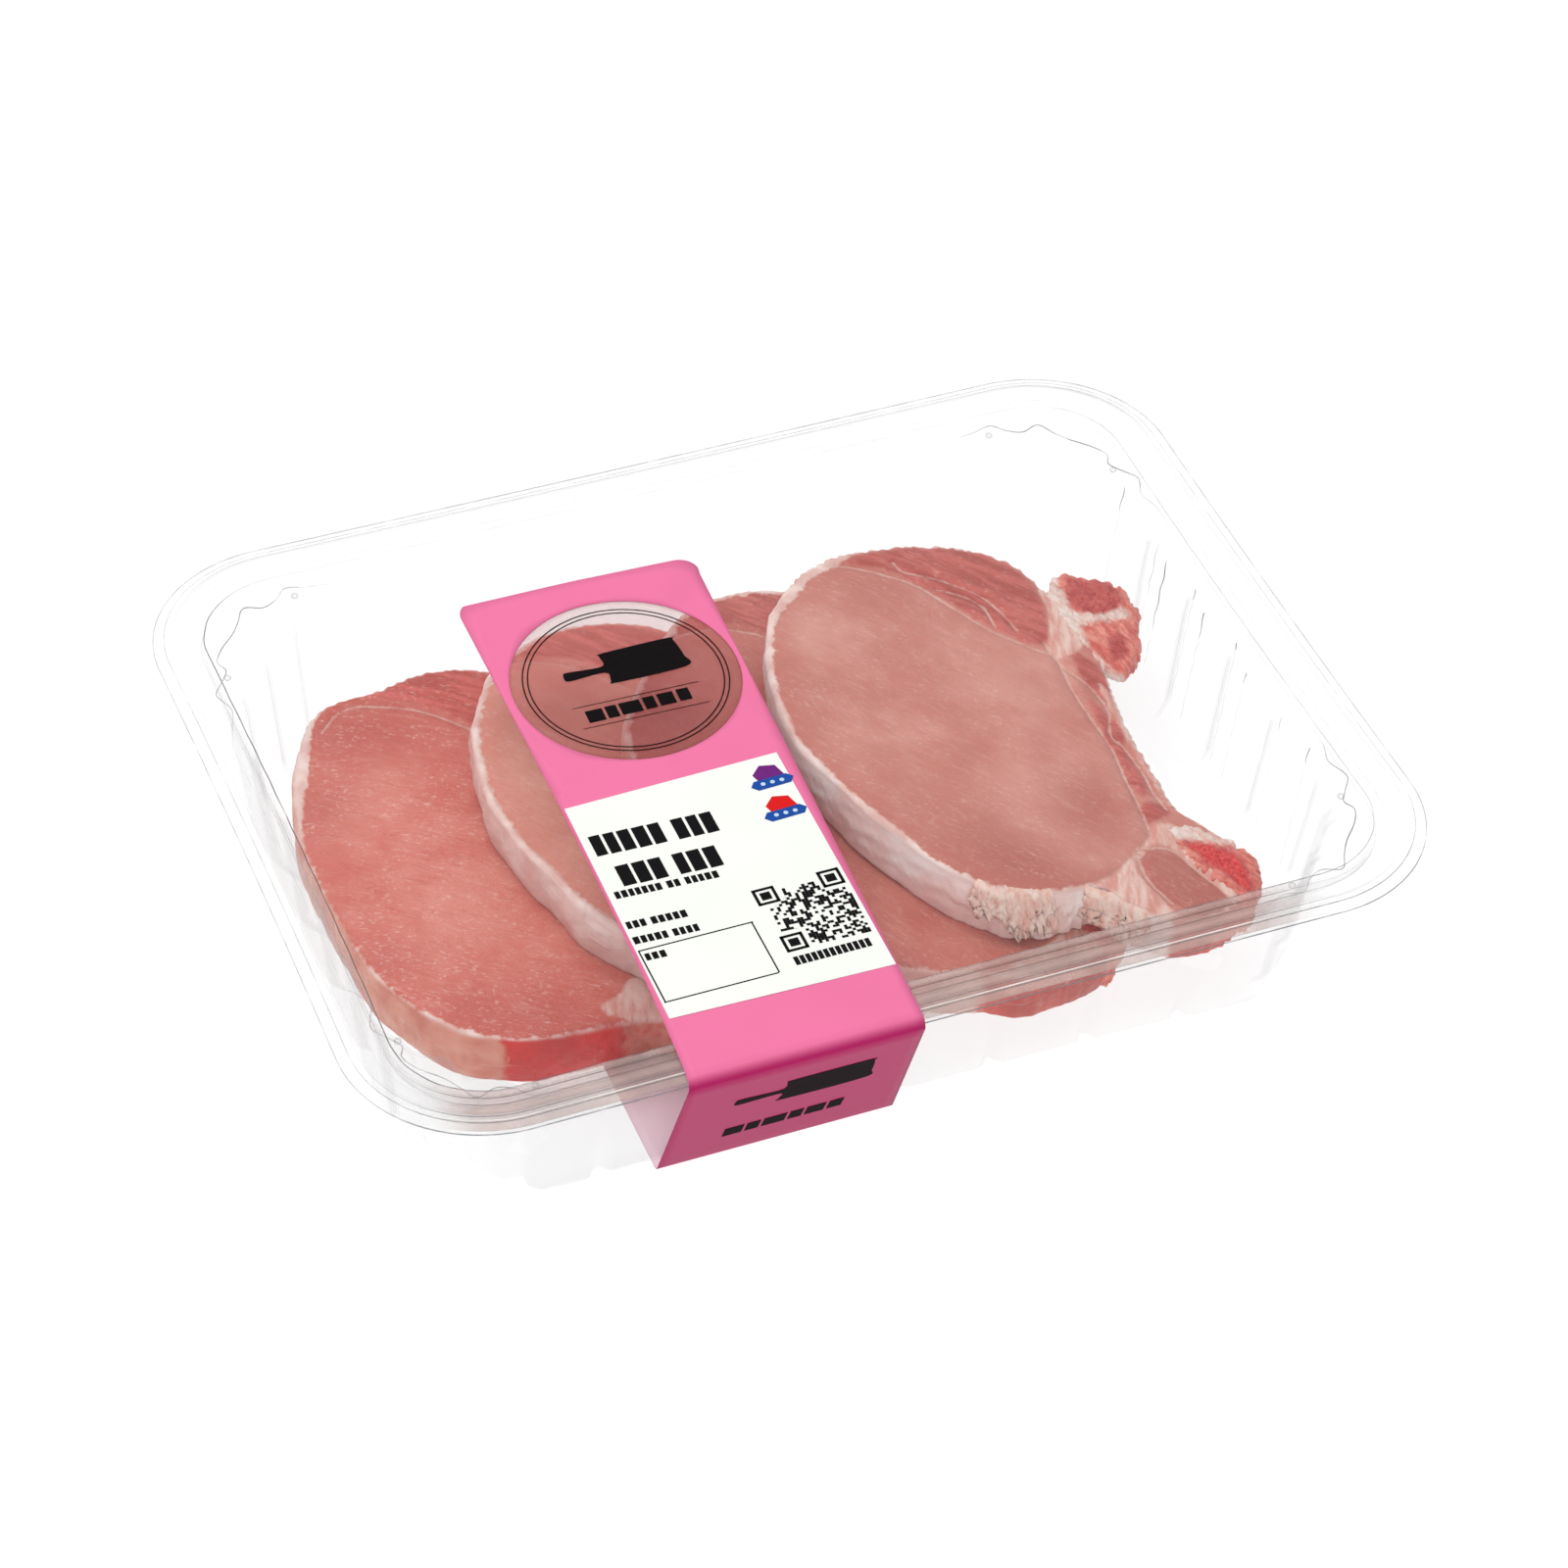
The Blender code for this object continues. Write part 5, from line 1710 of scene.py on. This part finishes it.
def side_redness(number, plan):
    """Where a chop's cut side shows lean in place of fat."""
    x, y = plan[:, 0], plan[:, 1]
    if number == 1:
        front = smooth(-30.0, -36.0, y) * smooth(-75.5, -70.0, x) * (1.0 - 0.6 * smooth(-53.0, -46.0, x))
        return np.clip(front + smooth(52.0, 62.0, y) * 0.25, 0.0, 1.0)
    if number == 4:
        pulled = np.exp(-((x - 40.0) / 3.6) ** 4) * 0.34 + np.exp(-((x - 21.5) / 2.4) ** 4) * 0.30
        back = smooth(44.0, 54.0, y) * 0.8
        front = (smooth(57.0, 62.0, x) + pulled) * smooth(-40.0, -48.0, y)
        return np.clip(back + front, 0.0, 1.0)
    return smooth(50.0, 60.0, y) * 0.5 + smooth(14.0, 24.0, x) * smooth(-40.0, -52.0, y)


def chop_surface(number, around=720, across=90, down=22, under=10):
    """Closed slab over a chop's outline, rounded at its edges and uneven as cut meat is.

    Gives its points, its faces, and for each point 0 on the cut face to 1 on the sides and below.
    """
    outline = closed_curve(CHOP_OUTLINES[number], around)
    middle = np.array(CHOP_MIDDLES[number])
    length = np.linalg.norm(outline - middle, axis=1)
    ragged = 0.35 * wave_noise(outline, 17.0, number, 3) + raggedness(number, outline)
    tear = tear_shape(number, outline)
    folds = side_folds(number, outline)
    spread = side_spread(number, outline)
    round_top, round_low, narrow = 1.7, 0.7, 0.6
    rows = []
    sides = []

    def add(plan, height, side):
        """One more row, and how far it belongs to the sides."""
        rows.append(ring(plan, height))
        sides.append(side)

    def grown(amount, torn=0.0, lumps=0.0):
        """The outline moved outwards, with its ragged edge, torn fat and lumps."""
        return drawn_in(outline, middle, 1.0 + (amount + ragged + torn * tear + lumps) / length)

    for share in np.linspace(0.0, 1.0, across)[1:]:
        reach = (1.0 - round_top / length) * share + ragged / length * share ** 4
        plan = drawn_in(outline, middle, reach)
        add(plan, topside(number, plan[:, 0]), 0.0)
    for step in range(1, 8):
        angle = math.radians(90.0 * step / 7.0)
        plan = grown(-round_top + round_top * math.sin(angle))
        drop = round_top * (1.0 - math.cos(angle))
        add(plan, topside(number, plan[:, 0]) - drop, float(smooth(0.35, 0.95, step / 7.0)))
    for step in range(1, down + 1):
        share = step / (down + 1.0)
        arch = math.sin(math.pi * share)
        torn = float(smooth(0.0, 0.18, share) * (1.0 - smooth(0.50, 0.60, share)))
        wall = np.column_stack([outline, np.full(around, 14.0 * share)])
        wrinkle = 0.22 * wave_noise(wall, 5.0, number + 100, 3)
        plan = grown(0.5 * arch - narrow * share, torn,
                     wrinkle * arch + folds * (0.3 + 0.7 * share) + spread * share)
        top = topside(number, plan[:, 0]) - round_top
        low = np.minimum(underside(number, plan[:, 0]) + round_low, top - 0.2)
        add(plan, blend(top, low, share), 1.0)
    for step in range(1, 7):
        angle = math.radians(90.0 * step / 6.0)
        plan = grown(-narrow - round_low + round_low * math.cos(angle), lumps=folds + spread)
        add(plan, underside(number, plan[:, 0]) + round_low * (1.0 - math.sin(angle)), 1.0)
    for share in np.linspace(1.0, 0.0, under)[1:-1]:
        plan = drawn_in(outline, middle, (1.0 - (narrow + round_low - folds - spread) / length) * share)
        add(plan, underside(number, plan[:, 0]), 1.0)
    crown = float(topside(number, middle[0]))
    foot = float(underside(number, middle[0]))
    points, faces = close_slab(rows, (*middle, crown), (*middle, foot))
    return points, faces, np.concatenate([np.repeat(sides, around), [0.0, 1.0]])


def shape_chop(number, points, side, fields):
    """Lifts muscles, sinks seams and roughens the cut faces."""
    relief = 0.30 * wave_noise(points, 34.0, number + 40, 2)
    relief += 0.06 * wave_noise(points, 5.0, number + 60, 3)
    streaks = 0.10 * wave_noise(points * (1.0, 2.2, 1.0), 6.5, number + 70, 2)
    relief += streaks * smooth(-1.0, 2.0, fields["red"])
    relief += 0.25 * smooth(0.0, 0.8, fields["rim"] - fields["edge"])
    groove = -0.35 * np.exp(-(fields["seam"] / 0.9) ** 2)
    swell = 0.35 * smooth(0.0, 5.0, fields["edge"]) * smooth(0.0, 3.0, fields["seam"])
    points[:, 2] += (1.0 - side) * (relief + groove + swell - 0.3)


def build_chops():
    """The four chops, each with the tones of its own cut face and side."""
    white_wall = (paint(249, 212, 206), paint(255, 242, 238))
    pink_wall = (paint(212, 116, 96), paint(236, 164, 142))
    peach_wall = (paint(232, 182, 174), paint(250, 220, 214))
    rosy_wall = (paint(222, 156, 144), paint(242, 200, 188))
    cut_red = paint(205, 90, 80)
    bright_red = paint(216, 38, 30)
    # pale lean, deep lean, red muscle, both tones and the lean of the side, wetness, which also sets the
    # painted glints, turn of the grain
    tones = (
        (paint(230, 140, 124), paint(215, 102, 87), paint(202, 70, 56), *pink_wall, bright_red, 1.0, 0.9),
        (paint(242, 172, 154), paint(230, 148, 130), paint(206, 96, 84), *peach_wall, cut_red, 0.6, 0.7),
        (paint(218, 131, 116), paint(202, 107, 94), paint(192, 84, 74), *rosy_wall, cut_red, 0.35, 0.5),
        (paint(222, 153, 139), paint(206, 123, 109), paint(190, 72, 61), *white_wall, cut_red, 0.4, 0.75),
    )
    for number, look in enumerate(tones, start=1):
        points, faces, side = chop_surface(number)
        fields = chop_fields(number, points[:, :2])
        shape_chop(number, points, side, fields)
        fields["side"] = side
        fields["side_red"] = side_redness(number, points[:, :2])
        meat = raw_meat("chop_meat_%d" % number, *look)
        piece = make_piece("loin_chop_%d" % number, points, faces, meat, fields=fields)
        face_outward(piece)
        attach(piece, "raw_pork", "chop_%d" % number)
    build_flaps()


# torn flaps on a chop's edge: chop, start and end along the edge, drop, how far they hang out, seed
FLAPS = (
    (4, (22.0, -49.2), (27.6, -52.9), 6.4, 0.1, 3),
    (4, (27.2, -52.7), (33.6, -54.0), 9.4, 1.5, 5),
    (4, (32.6, -53.9), (37.6, -54.1), 7.8, 0.7, 8),
    (4, (44.4, -53.6), (51.8, -57.7), 8.0, 0.7, 12),
    (4, (50.6, -57.0), (55.2, -62.0), 8.6, 1.0, 15),
)


def build_flaps():
    """Ragged flaps of fat pulled down over the chops' front edges."""
    fat = torn_fat()
    across, down = 30, 34
    u, v = np.meshgrid(np.linspace(0.0, 1.0, across), np.linspace(0.0, 1.0, down))
    u, v = u.ravel(), v.ravel()
    tucked = smooth(0.14, 0.0, u) + smooth(0.86, 1.0, u)
    round_end = 1.0 - 0.35 * np.abs(2.0 * u - 1.0) ** 3
    for place, (number, start, end, drop, out, seed) in enumerate(FLAPS, start=1):
        start, end = np.array(start), np.array(end)
        run = (end - start) / np.linalg.norm(end - start)
        ragged = 0.55 * wave_noise(np.stack([u * 6.0], axis=1), 1.7, seed, 3)
        reach = v * (0.90 + 0.45 * ragged * v) * blend(1.0, round_end, v)
        wander = 0.16 * wave_noise(np.stack([v * 7.0], axis=1), 3.0, seed + 1, 2)
        narrow = 0.5 + (u - 0.5) * (0.94 + 0.12 * v) + wander * v
        wrinkle = wave_noise(np.stack([u * 7.0, v * 9.0], axis=1), 3.2, seed + 2, 3)
        fold = 0.24 * wave_noise(np.stack([u * 6.0 + 2.4 * v, v * 2.0], axis=1), 2.6, seed + 4, 2)
        fold += 0.16 * wrinkle
        over = smooth(0.0, 0.16, reach)
        hang = np.clip((reach - 0.10) / 0.9, 0.0, 1.0)
        ahead = -1.1 + 1.5 * over + out * hang ** 1.5 + fold * smooth(0.0, 0.3, v)
        ahead += side_spread(number, start[None, :])[0] * hang - 0.9 * tucked * (1.0 - 0.5 * v)
        plan = start + (end - start) * narrow[:, None] + np.array([run[1], -run[0]]) * ahead[:, None]
        height = topside(number, plan[:, 0]) - 0.9 - drop * hang - 0.3 * over + 0.1 * wrinkle
        faces = grid_faces(down, across, closed_columns=False)
        thin = make_piece("torn_fat_%d" % place, np.column_stack([plan, height]), faces, fat, solid=0.6)
        face_outward(thin)
        attach(thin, "raw_pork")


# ---------------------------------------------------------------- bones

BONE_OUTLINES = {
    "chine": (
        (78.2, 40.4), (80.6, 43.6), (82.6, 46.9), (86.3, 48.2), (89.6, 46.9), (93.1, 45.6), (95.6, 44.6),
        (96.4, 43.0), (97.8, 43.4), (98.2, 40.7), (97.6, 37.4), (98.0, 34.6), (96.0, 30.4), (94.2, 27.4),
        (93.4, 23.4), (91.0, 19.8), (88.0, 16.2), (84.4, 12.8), (81.6, 13.6), (79.6, 18.6), (78.8, 25.0),
        (78.2, 31.5), (78.0, 36.0),
    ),
    "rib": (
        (70.6, -36.2), (74.6, -35.4), (79.0, -37.4), (81.6, -40.3), (83.5, -41.8), (84.6, -44.2),
        (86.3, -47.7), (85.4, -52.0), (84.0, -54.6), (81.3, -58.2), (78.8, -60.0), (76.5, -57.5),
        (72.8, -51.4), (71.2, -45.5), (70.0, -40.4),
    ),
}
MARROW = {
    "chine": (
        (
            (83.4, 40.4), (85.8, 45.0), (90.6, 45.4), (94.6, 43.0), (96.2, 40.8), (95.4, 37.4),
            (93.0, 34.6), (88.7, 33.0), (84.8, 33.6), (82.6, 36.0),
        ),
        ((86.0, 24.4), (88.4, 26.2), (90.0, 24.6), (89.0, 21.2), (86.3, 17.6), (84.0, 17.2), (84.2, 20.8)),
    ),
    "rib": (
        (
            (72.6, -41.6), (74.6, -42.6), (78.5, -44.2), (81.7, -46.9), (82.6, -52.2), (81.9, -55.2),
            (79.4, -58.0), (77.6, -55.6), (74.6, -50.0), (73.0, -45.6),
        ),
    ),
}
PALE_BONE = {
    "chine": (
        ((78.6, 34.2), (86.0, 33.4), (93.4, 35.0), (93.8, 31.4), (86.0, 30.0), (79.3, 29.4)),
        (
            (76.0, 48.0), (82.4, 46.5), (82.0, 38.0), (81.0, 29.0), (80.2, 20.0), (82.0, 14.0),
            (84.6, 11.5), (76.0, 11.0),
        ),
    ),
    "rib": (
        (
            (68.0, -38.0), (74.6, -34.0), (80.0, -36.2), (84.5, -41.0), (82.6, -44.0), (76.5, -42.2),
            (71.0, -41.2),
        ),
    ),
}


def bone_surface(kind, number, shift, seed, around=260, across=44, down=20):
    """A sawn piece of bone standing a little proud of the meat: its points and faces."""
    outline = closed_curve(BONE_OUTLINES[kind], around)
    middle = outline.mean(axis=0)
    length = np.linalg.norm(outline - middle, axis=1)
    ragged = 0.25 * wave_noise(outline, 9.0, seed, 3) + 0.55 * wave_noise(outline, 2.0, seed + 1, 3)
    rounding = 1.5
    proud = 0.45
    rows = []
    for share in np.linspace(0.0, 1.0, across)[1:]:
        plan = drawn_in(outline, middle, (1.0 - rounding / length) * share + ragged / length * share ** 3)
        rows.append(ring(plan, topside(number, plan[:, 0] + shift) + proud * (1.0 - share ** 6)))
    for step in range(1, 7):
        angle = math.radians(15.0 * step)
        plan = drawn_in(outline, middle, 1.0 + (ragged - rounding + rounding * math.sin(angle)) / length)
        drop = rounding * (1.0 - math.cos(angle))
        rows.append(ring(plan, topside(number, plan[:, 0] + shift) - drop))
    for step in range(1, down + 1):
        share = step / float(down)
        lump = 0.5 * wave_noise(np.column_stack([outline, np.full(around, 11.0 * share)]), 7.0, seed + 3, 3)
        slope = 0.8 * share ** 2 + 2.2 * share ** 8
        plan = drawn_in(outline, middle, 1.0 + (ragged + lump - slope) / length)
        top = topside(number, plan[:, 0] + shift) - rounding
        low = underside(number, plan[:, 0] + shift)
        if kind == "chine":
            low = blend(top - 0.8, low, smooth(10.0, 34.0, plan[:, 1]))
        rows.append(ring(plan, blend(top, low, share)))
    centre = float(underside(number, middle[0] + shift)) + (4.0 if kind == "chine" else 0.0)
    for share in (0.7, 0.35):
        last = rows[-1]
        rows.append(ring(drawn_in(last[:, :2], middle, share), blend(centre, last[:, 2], share)))
    crown = float(topside(number, middle[0] + shift)) + proud
    points, faces = close_slab(rows, (*middle, crown), (*middle, centre))
    points[:, 2] += 0.35 * wave_noise(points, 6.0, seed + 5, 3) + 0.2 * wave_noise(points, 2.2, seed + 6, 2)
    return points, faces


def build_bones():
    """Chine and rib bones of the two upper chops."""
    bone = raw_bone()
    chop_step = (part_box("chine_bone_3")[0].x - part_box("chine_bone_4")[0].x) / MM
    for number, shift in ((4, 0.0), (3, chop_step)):
        for kind in ("chine", "rib"):
            points, faces = bone_surface(kind, number, shift, 70 + number)
            marrow = zone_distance(points[:, :2], MARROW[kind], 20.0)
            fields = {
                "marrow": marrow,
                "bright": marrow - 0.6 if kind == "rib" else np.full(len(points), -20.0),
                "pale": zone_distance(points[:, :2], PALE_BONE[kind], 20.0),
            }
            points[:, 0] += shift
            piece = make_piece("%s_piece_%d" % (kind, number), points, faces, bone, fields=fields)
            face_outward(piece)
            attach(piece, "raw_bone", "%s_bone_%d" % (kind, number))


# ---------------------------------------------------------------- stage

CAMERA_AZIMUTH = -22.784
CAMERA_HEIGHT = 42.516
CAMERA_ROLL = 1.819
CAMERA_DISTANCE = 997.3
CAMERA_AIM = (-2.08, -8.37, 34.31)
CAMERA_LENS = 113.11
CAMERA_SENSOR = 36.0
LAMP_AIM = (0.0, 0.0, 0.02)
FLOOR_HALF = 4.0


def camera_axes():
    """Right, up and back of the camera."""
    azimuth, height, roll = (math.radians(angle) for angle in (CAMERA_AZIMUTH, CAMERA_HEIGHT, CAMERA_ROLL))
    level = math.cos(height)
    back = Vector((math.sin(azimuth) * level, -math.cos(azimuth) * level, math.sin(height)))
    level_right = Vector((math.cos(azimuth), math.sin(azimuth), 0.0))
    level_up = back.cross(level_right)
    right = level_right * math.cos(roll) + level_up * math.sin(roll)
    up = level_up * math.cos(roll) - level_right * math.sin(roll)
    return right, up, back


def add_area(name, place, size, power):
    """A soft white lamp that looks at the pack; place and size in metres, power in watts."""
    light = bpy.data.lights.new(name, "AREA")
    light.shape = "RECTANGLE"
    light.size, light.size_y = size
    light.energy = power
    lamp = link_object(name, light)
    lamp.location = place
    lamp.rotation_euler = (Vector(LAMP_AIM) - Vector(place)).to_track_quat("-Z", "Y").to_euler()


def soft_room():
    """Soft light, strongest from above and behind, weaker from the front and near the floor."""
    world = bpy.data.worlds.new("soft_room")
    world.use_nodes = True
    tree = world.node_tree
    sky = tree.nodes["Background"]
    sky.inputs["Color"].default_value = (1.0, 1.0, 1.0, 1.0)
    coordinates = tree.nodes.new("ShaderNodeTexCoord")
    split = tree.nodes.new("ShaderNodeSeparateXYZ")
    tree.links.new(coordinates.outputs["Generated"], split.inputs[0])
    height = Value(tree, split.outputs["Z"])
    depth = Value(tree, split.outputs["Y"])
    level = height.step(0.0, 0.6) * 0.72 + depth.step(-0.9, 0.6) * 0.42 + 0.06
    tree.links.new(level.socket, sky.inputs["Strength"])
    return world


def build_stage():
    """Camera, pale floor, soft room and two lamps."""
    scene = bpy.context.scene
    camera = link_object("camera", bpy.data.cameras.new("camera"))
    camera.data.lens = CAMERA_LENS
    camera.data.sensor_width = CAMERA_SENSOR
    camera.data.clip_start = 0.05
    camera.data.clip_end = 20.0
    right, up, back = camera_axes()
    place = Vector(metres(CAMERA_AIM)) + back * CAMERA_DISTANCE * MM
    camera.matrix_world = Matrix.Translation(place) @ Matrix((right, up, back)).transposed().to_4x4()
    scene.camera = camera

    bm = bmesh.new()
    bmesh.ops.create_grid(bm, x_segments=8, y_segments=8, size=FLOOR_HALF)
    mesh = bpy.data.meshes.new("studio_floor")
    bm.to_mesh(mesh)
    bm.free()
    mesh.materials.append(floor_finish())
    floor = link_object("studio_floor", mesh)

    scene.world = soft_room()
    add_area("key_light", (-0.55, 0.75, 1.35), (1.1, 0.8), 8.2)
    add_area("fill_light", (-0.3, -1.3, 0.62), (1.1, 0.7), 6.0)
    scene.view_settings.view_transform = "Standard"
    scene.view_settings.look = "None"
    scene.cycles.transparent_max_bounces = 32


# ---------------------------------------------------------------- add-on

class MeatPackSettings(PropertyGroup):
    """Sizes and colours that a user would change."""

    sheet: FloatProperty(
        name="Tray sheet", description="Thickness of the formed plastic",
        default=0.00045, min=0.0002, max=0.001, unit="LENGTH", subtype="DISTANCE")
    flute_depth: FloatProperty(
        name="Rib depth", description="How far the wall ribs stand in",
        default=0.0024, min=0.0, max=0.005, unit="LENGTH", subtype="DISTANCE")
    label_colour: FloatVectorProperty(
        name="Label colour", description="Colour of the printed label",
        default=(0.712, 0.152, 0.308), min=0.0, max=1.0, size=3, subtype="COLOR")


class MEATPACK_OT_stage(Operator):
    """Camera, floor and soft lights."""

    bl_idname = "meatpack.stage"
    bl_label = "Stage"

    def execute(self, context):
        build_stage()
        return {"FINISHED"}


class MEATPACK_OT_tray(Operator):
    """Clear formed tray with its ribs, flange, beads and lugs."""

    bl_idname = "meatpack.tray"
    bl_label = "Tray"

    def execute(self, context):
        build_tray(context.scene.meat_pack)
        build_rim_details()
        return {"FINISHED"}


class MEATPACK_OT_chops(Operator):
    """The four overlapping loin chops."""

    bl_idname = "meatpack.chops"
    bl_label = "Chops"

    def execute(self, context):
        build_chops()
        return {"FINISHED"}


class MEATPACK_OT_bones(Operator):
    """Sawn bones at the chops' edges."""

    bl_idname = "meatpack.bones"
    bl_label = "Bones"

    def execute(self, context):
        build_bones()
        return {"FINISHED"}


class MEATPACK_OT_film(Operator):
    """Clear lid film."""

    bl_idname = "meatpack.film"
    bl_label = "Lid film"

    def execute(self, context):
        build_film()
        return {"FINISHED"}


class MEATPACK_OT_label(Operator):
    """Wrapped label with its window, panel and prints."""

    bl_idname = "meatpack.label"
    bl_label = "Label"

    def execute(self, context):
        build_label(context.scene.meat_pack)
        return {"FINISHED"}


STEPS = ("stage", "tray", "chops", "bones", "film", "label")


class MEATPACK_PT_panel(Panel):
    """Sizes and build steps."""

    bl_idname = "MEATPACK_PT_panel"
    bl_label = "Meat tray"
    bl_space_type = "VIEW_3D"
    bl_region_type = "UI"
    bl_category = "Meat tray"

    def draw(self, context):
        settings = context.scene.meat_pack
        for name in ("sheet", "flute_depth", "label_colour"):
            self.layout.prop(settings, name)
        for step in STEPS:
            self.layout.operator("meatpack." + step)


CLASSES = (
    MeatPackSettings, MEATPACK_OT_stage, MEATPACK_OT_tray, MEATPACK_OT_chops, MEATPACK_OT_bones,
    MEATPACK_OT_film, MEATPACK_OT_label, MEATPACK_PT_panel,
)


def register():
    """Adds the settings, the steps and the panel."""
    for made in CLASSES:
        bpy.utils.register_class(made)
    bpy.types.Scene.meat_pack = PointerProperty(type=MeatPackSettings)


def unregister():
    """Takes them away again."""
    del bpy.types.Scene.meat_pack
    for made in reversed(CLASSES):
        bpy.utils.unregister_class(made)


def main():
    """Builds every step in turn."""
    register()
    for step in STEPS:
        getattr(bpy.ops.meatpack, step)()


if __name__ == "__main__":
    main()
